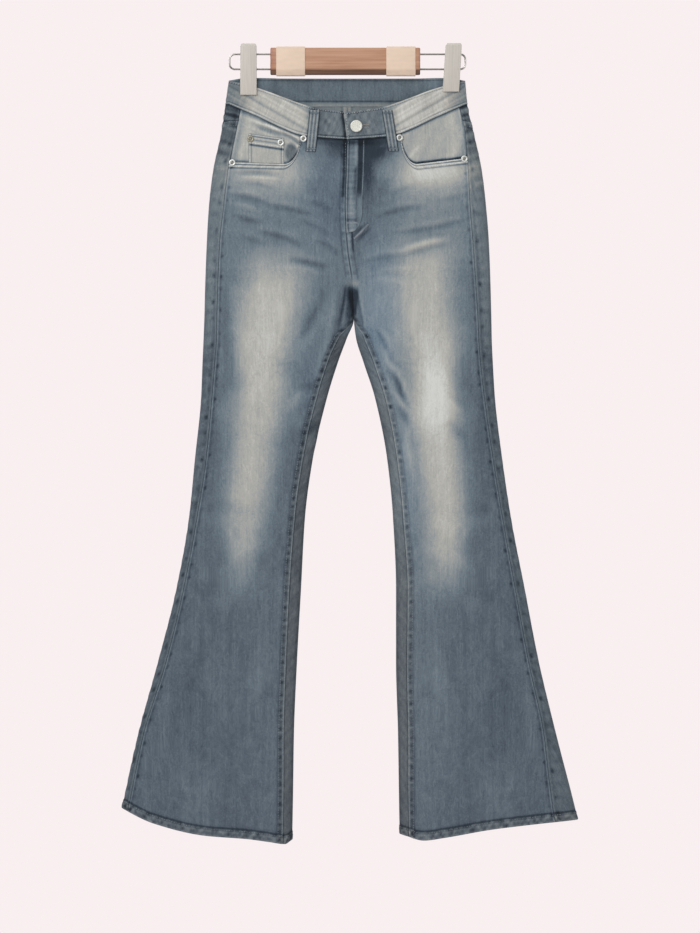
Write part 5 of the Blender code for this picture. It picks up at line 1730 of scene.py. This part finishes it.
sewn["waistband"].append(thread_mesh(
    "stitches_waistband",
    [
        row_of(band.cross_line(2.4)),
        row_of(band.cross_line(2.4, end=True)),
        row_of(band.down_line(3.0, top=2, end=2)),
    ],
    PALE_THREAD,
    "faded_denim",
))
sewn["fly"].append(thread_mesh(
    "stitches_fly",
    [row_of(fly.down_line(1.2, last=True, top=1, end=70)), row_of(fly.down_line(1.4, top=1, end=8))],
    DIM_THREAD,
))
sewn["coin_pocket"].append(thread_mesh(
    "stitches_coin_pocket",
    [row_of(coin.cross_line(d, first=1, last=1)) for d in (1.8, 13.0)]
    + [row_of(coin.down_line(1.5, last=last, top=9)) for last in (False, True)],
    PALE_THREAD,
    "faded_denim",
))
for name, cloth in loops.items():
    sewn[name].append(thread_mesh(
        "stitches_" + name,
        [row_of(cloth.down_line(d, top=5, end=5), pitch=3.0, length=2.9, radius=0.26) for d in (4.7, 9.4)],
        DIM_THREAD,
    ))

# %% Bar tacks
# A bar tack is a dense zigzag of thread over a short line, where a seam has to bear a pull.
Tack = namedtuple("Tack", "name sheet x_a drop_a x_b drop_b face lift width thread")
TACKS = table(Tack, (
    ("fly_end", "fly", 9.5, 267.5, 29.0, 248.0, -1, 1.5, 4.0, GREY_THREAD),
    ("fly_seam", "fly", -0.5, 245.6, 13.5, 245.6, -1, 1.7, 2.8, GREY_THREAD),
    ("hole_upper", "waistband", 19.5, 108.6, 30.0, 108.2, -1, 0.6, 2.4, TAN_THREAD),
    ("hole_lower", "waistband", 19.5, 112.0, 30.0, 111.8, -1, 0.6, 2.4, TAN_THREAD),
    ("loop_right_top", "belt_loop_front_right", -52.0, 92.0, -40.0, 92.0, -1, 3.2, 2.2, DIM_THREAD),
    ("loop_right_end", "belt_loop_front_right", -57.0, 142.0, -45.0, 142.0, -1, 2.3, 2.4, DIM_THREAD),
    ("loop_left_top", "belt_loop_front_left", 50.0, 92.0, 62.0, 92.0, -1, 3.2, 2.2, DIM_THREAD),
    ("loop_left_end", "belt_loop_front_left", 58.0, 141.5, 70.0, 141.5, -1, 2.3, 2.4, DIM_THREAD),
    ("loop_back_right_end", "belt_loop_back_right", -102.0, 95.5, -90.0, 95.5, 1, 2.3, 2.4, DIM_THREAD),
    ("loop_back_left_end", "belt_loop_back_left", 90.0, 95.5, 102.0, 95.5, 1, 2.3, 2.4, DIM_THREAD),
    ("loop_centre_end", "belt_loop_centre_back", -6.5, 95.5, 5.5, 95.5, 1, 2.3, 2.4, DIM_THREAD),
    ("pocket_right_a", "back_pocket_right", -30.0, 150.0, -30.0, 158.0, 1, 1.9, 2.6, DIM_THREAD),
    ("pocket_right_b", "back_pocket_right", -158.0, 158.0, -158.0, 166.0, 1, 1.9, 2.6, DIM_THREAD),
    ("pocket_left_a", "back_pocket_left", 30.0, 150.0, 30.0, 158.0, 1, 1.9, 2.6, DIM_THREAD),
    ("pocket_left_b", "back_pocket_left", 158.0, 158.0, 158.0, 166.0, 1, 1.9, 2.6, DIM_THREAD),
))


def tack_rows(tack):
    """Threads laid side by side across the tack's line."""
    start, end = np.array([tack.x_a, tack.drop_a]), np.array([tack.x_b, tack.drop_b])
    length = np.linalg.norm(end - start)
    t = np.linspace(0, 1, max(int(length / 0.75), 4))[:, None]
    x, drop = (start + (end - start) * t).T
    half, turn = front_place(x, drop)
    turn = turn if tack.face < 0 else 2 - turn
    out = normal(half, turn, drop)
    across = np.array([-(end - start)[1], 0, -(end - start)[0]]) / length
    slant = np.array([(end - start)[0], 0, -(end - start)[1]]) / length
    zigzag = across + slant * 0.25 * np.where(np.arange(len(x)) % 2, 1, -1)[:, None]
    return spindles(surface(half, turn, drop) + out * tack.lift, zigzag, out, tack.width, 0.45, 0.25)


for tack in TACKS:
    sewn[tack.sheet].append(thread_mesh("tack_" + tack.name, [tack_rows(tack)], tack.thread))
made = [o for group in sewn.values() for o in group]
print("thread meshes:", len(made), "triangles:", sum(2 * len(o.data.polygons) for o in made))

# %% [markdown]
# ## Button and rivets
#
# The shank button and the rivets are pressed metal, so they are turned: a half section is spun
# round its axis. They are built lying on the ground plane, then set on the cloth.

# %% Turned metal
BUTTON_PROFILE = (
    (3.2, 0.0), (3.5, 1.2), (7.9, 1.5), (8.3, 1.9), (8.3, 2.5), (7.8, 2.9), (7.0, 3.0), (6.4, 2.85),
    (5.6, 2.75), (2.4, 2.85), (0.9, 2.9),
)
RIVET_PROFILE = (
    (4.6, 0.0), (4.7, 0.5), (4.4, 1.0), (3.7, 1.3), (2.9, 1.25), (2.3, 0.8), (1.9, 0.6), (1.5, 0.9),
    (1.0, 1.2), (0.4, 1.3),
)
PIP = 2.1  # the dark middle of a rivet ends here


def polished(name, colour, roughness, metallic=1.0, pits=0.0):
    """A metal with slightly uneven polish, or a coloured plastic where it isn't metallic."""
    material, tree, shader = new_material(name)
    shader.inputs["Metallic"].default_value = metallic
    at = add(tree, "TexCoord").outputs["Object"]
    noise = add(tree, "TexNoise", Vector=at, Scale=700.0, Detail=3.0).outputs["Fac"]
    dark = tuple(c * (0.72 - pits) for c in colour)
    tree.links.new(ramp(tree, noise, [(0.35, dark), (0.6, colour)]), shader.inputs["Base Color"])
    rough = calc(tree, "MULTIPLY_ADD", noise, 0.2)
    rough.node.inputs[2].default_value = roughness - 0.1
    tree.links.new(rough, shader.inputs["Roughness"])
    return material


SILVER = polished("pale_silver", linear(228, 231, 227), 0.42, metallic=0.7)
BUTTON = polished("pale_button", linear(232, 232, 222), 0.5, metallic=0.5)
PIP_METAL = polished("dark_pip", linear(150, 148, 142), 0.5)
DULL = polished("dull_brass", linear(172, 168, 150), 0.5, pits=0.2)


def edit_alone(obj):
    """Opens one object's mesh for editing, the whole of it selected and nothing else."""
    bpy.ops.object.select_all(action="DESELECT")
    obj.select_set(True)
    bpy.context.view_layer.objects.active = obj
    bpy.ops.object.mode_set(mode="EDIT")
    bpy.ops.mesh.select_all(action="SELECT")


def turned(name, profile, steps, material):
    """A half section spun into a stud, its crown closed by a small flat cap."""
    data = bpy.data.meshes.new(name)
    points = [(r * MM, 0, z * MM) for r, z in profile]
    data.from_pydata(points, [(i, i + 1) for i in range(len(points) - 1)], [])
    obj = bpy.data.objects.new(name, data)
    bpy.context.scene.collection.objects.link(obj)
    edit_alone(obj)
    bpy.ops.mesh.spin(steps=steps, angle=2 * math.pi, center=(0, 0, 0), axis=(0, 0, 1))
    bpy.ops.mesh.select_all(action="SELECT")
    bpy.ops.mesh.remove_doubles(threshold=0.00001)
    bpy.ops.mesh.fill_holes(sides=0)
    bpy.ops.mesh.normals_make_consistent(inside=False)
    bpy.ops.object.mode_set(mode="OBJECT")
    bpy.ops.object.shade_smooth_by_angle(angle=math.radians(40))
    data.materials.append(material)
    if profile is RIVET_PROFILE:
        data.materials.append(PIP_METAL)
        for face in data.polygons:
            face.material_index = int(math.hypot(*face.center[:2]) < PIP * MM)
    return obj


def set_on_cloth(obj, x, drop, base):
    """Turns the stud's axis to the cloth's normal and moves it there, in its mesh."""
    x, drop = np.array(float(x)), np.array(float(drop))
    half, turn = front_place(x, drop)
    out = normal(half, turn, drop)
    foot = (surface(half, turn, drop) + out * base) * MM
    obj.data.transform(Vector(out).to_track_quat("Z", "Y").to_matrix().to_4x4())
    obj.data.transform(Matrix.Translation(Vector(foot)))


ON_BAND = BAND_OUT + GAP
Stud = namedtuple("Stud", "name x drop base profile steps material")
STUDS = (
    Stud("waist_button", 12.3, BUTTON_DROP, ON_BAND, BUTTON_PROFILE, 40, BUTTON),
    Stud("rivet_right_inner", -61.6, 127.6, ON_BAND, RIVET_PROFILE, 24, SILVER),
    Stud("rivet_right_outer", -161.2, 161.0, GAP + 0.3, RIVET_PROFILE, 24, SILVER),
    Stud("rivet_left_inner", 72.9, 126.4, ON_BAND, RIVET_PROFILE, 24, SILVER),
    Stud("rivet_left_outer", 163.3, 155.7, GAP + 0.3, RIVET_PROFILE, 24, SILVER),
    Stud("rivet_coin", -93.4, 133.2, 0.4, RIVET_PROFILE, 24, SILVER),
    Stud("rivet_coin_outer", -135.6, 128.0, 0.4, RIVET_PROFILE, 24, DULL),
)
for stud in STUDS:
    metal = turned(stud.name + "_metal", stud.profile, stud.steps, stud.material)
    set_on_cloth(metal, stud.x, stud.drop, stud.base)
    replaced = [stud.name] if stud.name in frame["nodes"] else []
    declare(metal, "silver", *replaced)

# %% [markdown]
# ## The hanger
#
# The bar is a length of varnished wood with both lower edges planed away, bored twice for the
# wire. The wire is one closed loop of drawn steel. Two pale rubbery sleeves are slipped on the
# bar, and the clips are bent strips that close on the waistband.

# %% Wood, steel, sleeve and clip finishes
BAR_ENDS, BAR_HALF_DEPTH, BAR_HEIGHT = (-108.0, 101.8), 8.0, 37.8
WIRE_DROP, WIRE_RADIUS = 8.8, 1.3
SLEEVE_WALL = 1.2
BEVEL_SEGMENTS = 3


def wood():
    """Long pale and dark fibres along x, redder towards the ends of the bar, with a dark brown painted over
    its lowest part as shade under the bar.
    """
    material, tree, shader = new_material("varnished_wood")
    at = add(tree, "TexCoord").outputs["Object"]
    stretched = add(tree, "Mapping", Vector=at, Scale=(9, 160, 420)).outputs["Vector"]
    fibre = add(tree, "TexNoise", Vector=stretched, Scale=1.0, Detail=5.0, Distortion=0.4).outputs["Fac"]
    broad = add(tree, "Mapping", Vector=at, Scale=(7, 60, 90)).outputs["Vector"]
    figure = add(tree, "TexNoise", Vector=broad, Scale=1.0, Detail=2.0, Distortion=1.2).outputs["Fac"]
    mixed = calc(tree, "ADD", calc(tree, "MULTIPLY", fibre, 0.6), calc(tree, "MULTIPLY", figure, 0.4))
    split = add(tree, "SeparateXYZ", Vector=at)
    tones = [(0.30, linear(160, 112, 84)), (0.5, linear(186, 142, 114)), (0.70, linear(200, 158, 130))]
    face = ramp(tree, mixed, tones)
    # painted shade: the lowest part of the bar, over its planed edges, blends into a dark brown by height
    under = ramp(tree, mixed, [(0.3, linear(84, 54, 38)), (0.7, linear(128, 92, 68))])
    low = add(tree, "MapRange", _0=split.outputs["Z"], _1=-0.0285, _2=-0.0318).outputs["Result"]
    ends = add(tree, "MapRange", _0=calc(tree, "ABSOLUTE", split.outputs["X"]), _1=0.096, _2=0.108)
    redder = calc(tree, "MULTIPLY", ends.outputs["Result"], 0.55)
    warm = tinted(tree, redder, face, (*linear(196, 128, 104), 1))
    whole = add(tree, "Mix", {"data_type": "RGBA"}, _0=low, _6=warm, _7=under)
    tree.links.new(whole.outputs[2], shader.inputs["Base Color"])
    shader.inputs["Roughness"].default_value = 0.42
    bump = add(tree, "Bump", Strength=0.25, Distance=0.0003, Height=fibre)
    tree.links.new(bump.outputs["Normal"], shader.inputs["Normal"])
    return material


def matt(name, colour, roughness, streak, spread):
    """A plain finish with faint mottle, by its number of patches a metre each way."""
    material, tree, shader = new_material(name)
    at = add(tree, "TexCoord").outputs["Object"]
    stretched = add(tree, "Mapping", Vector=at, Scale=streak).outputs["Vector"]
    noise = add(tree, "TexNoise", Vector=stretched, Scale=1.0, Detail=3.0).outputs["Fac"]
    dark = tuple(c * spread for c in colour)
    tree.links.new(ramp(tree, noise, [(0.35, dark), (0.65, colour)]), shader.inputs["Base Color"])
    shader.inputs["Roughness"].default_value = roughness
    bump = add(tree, "Bump", Strength=0.15, Distance=0.0002, Height=noise)
    tree.links.new(bump.outputs["Normal"], shader.inputs["Normal"])
    return material


WOOD = wood()
SLEEVE = matt("sleeve_rubber", linear(229, 205, 183), 0.6, streak=(60, 60, 200), spread=0.93)
CLIP = matt("clip_grey", linear(202, 196, 187), 0.42, streak=(700, 700, 22), spread=0.88)
STEEL = polished("drawn_wire", linear(176, 172, 168), 0.32)

# %% Edges eased with a bevel


def eased_prism(name, outline, x_from, x_to, ease, material, slot):
    """An outline in y and z drawn out along x, its sharp edges rounded."""
    data = bpy.data.meshes.new(name)
    data.from_pydata([(x_from * MM, y * MM, z * MM) for y, z in outline], [], [list(range(len(outline)))])
    obj = bpy.data.objects.new(name + "_shaped", data)
    bpy.context.scene.collection.objects.link(obj)
    edit_alone(obj)
    bpy.ops.mesh.extrude_region_move(TRANSFORM_OT_translate={"value": ((x_to - x_from) * MM, 0, 0)})
    bpy.ops.mesh.select_all(action="SELECT")
    bpy.ops.mesh.normals_make_consistent(inside=False)
    bpy.ops.object.mode_set(mode="OBJECT")
    bevel = obj.modifiers.new("eased", "BEVEL")
    bevel.width = ease * MM
    bevel.segments = BEVEL_SEGMENTS
    bevel.limit_method = "ANGLE"
    bevel.angle_limit = math.radians(25)
    bpy.ops.object.modifier_apply(modifier="eased")
    bpy.ops.object.shade_smooth_by_angle(angle=math.radians(35))
    obj.data.materials.append(material)
    return declare(obj, slot, name)


def bar_outline(grow):
    half, low = BAR_HALF_DEPTH + grow, -BAR_HEIGHT - grow
    right = [(half, grow), (half, -BAR_HEIGHT + 7), (half - 4, low)]
    return right + [(-y, z) for y, z in reversed(right)]


eased_prism("hanger_bar", bar_outline(0), *BAR_ENDS, 1.8, WOOD, "wood")
for name, x_from, x_to in (("bar_sleeve_right", -99.8, -59.2), ("bar_sleeve_left", 54.2, 95.3)):
    eased_prism(name, bar_outline(GAP + SLEEVE_WALL), x_from, x_to, 0.9, SLEEVE, "sleeve")

# %% Clips
JAW_HALF, JAW_WALL = 3.0, 2.2


def clip_shell(clip):
    """Two jaws joined over the wire, with rounded upper corners."""
    roof = -(WIRE_DROP - WIRE_RADIUS - GAP)
    body, jaw = JAW_HALF + 4.6, JAW_HALF + JAW_WALL
    right = [
        (JAW_HALF, -clip.bottom), (jaw + 1.4, -clip.bottom), (body, -clip.bottom + 22),
        (body, -clip.top - 3), (body - 2.5, -clip.top),
    ]
    inside = [(4.6, roof), (4.6, -38.0), (JAW_HALF, -42.0)]
    outline = right + [(-y, z) for y, z in reversed(right)] + [(-y, z) for y, z in reversed(inside)]
    outline += inside
    half = CLIP_WIDTH / 2
    obj = eased_prism(clip.name, outline, clip.x - half, clip.x + half, 0.8, CLIP, "clip")
    top = -clip.top * MM
    for v in obj.data.vertices:  # round the upper corners as seen from the front
        beside = abs(v.co.x - clip.x * MM) / (half * MM)
        near_top = 1 - min(max((top - v.co.z) / (5 * MM), 0), 1)
        if beside > 0.9 and near_top > 0:
            v.co.x += (clip.x * MM - v.co.x) * 0.16 * near_top**2
        v.co.x += clip.lean * (v.co.z + clip.bottom * MM) / (clip.bottom - clip.top)
    return obj


for clip in CLIPS:
    clip_shell(clip)

# %% The wire keeps its CAD form
frame["nodes"]["hanger_wire"].material_slots[0].material = STEEL

# %% [markdown]
# ## The cut of each sheet
#
# Each piece of cloth is listed with the size that it is cut to, laid flat, and with what it is
# sewn to or hangs from, and its cut area is printed beside the area that its shell shows. The leg
# panels, yokes, facings and pockets have 10 mm of seam allowance. The waistband, the fly and the
# belt loops are folded strips, given here at the folded size that shows.

Cut = namedtuple("Cut", "width length area rests_on")
CUTS = {
    "waistband": Cut(0.790, 0.040, None, ("clip_right", "clip_left")),
    "fly": Cut(0.026, 0.130, None, ("front_left", "waistband")),
    "coin_pocket": Cut(0.060, 0.052, 0.0025, ("pocket_facing_right",)),
}
for side in HALVES.values():
    CUTS[f"front_{side}"] = Cut(0.336, 1.016, 0.186, ("waistband", f"pocket_facing_{side}"))
    CUTS[f"back_{side}"] = Cut(0.372, 1.038, 0.252, (f"yoke_{side}", f"front_{side}"))
    CUTS[f"yoke_{side}"] = Cut(0.215, 0.086, 0.0116, ("waistband",))
    CUTS[f"pocket_facing_{side}"] = Cut(0.133, 0.110, 0.0100, ("waistband", f"yoke_{side}"))
    CUTS[f"back_pocket_{side}"] = Cut(0.154, 0.180, 0.0210, (f"back_{side}",))
for loop in LOOPS:
    CUTS[loop.name] = Cut(0.0146, 0.058, None, ("waistband",))

for name, cut in CUTS.items():
    shown = sum(p.area for p in sheets[name].data.polygons) / 2
    print(name, "cut", round(cut.area or cut.width * cut.length, 4), "m2, shown", round(shown, 4), "m2")
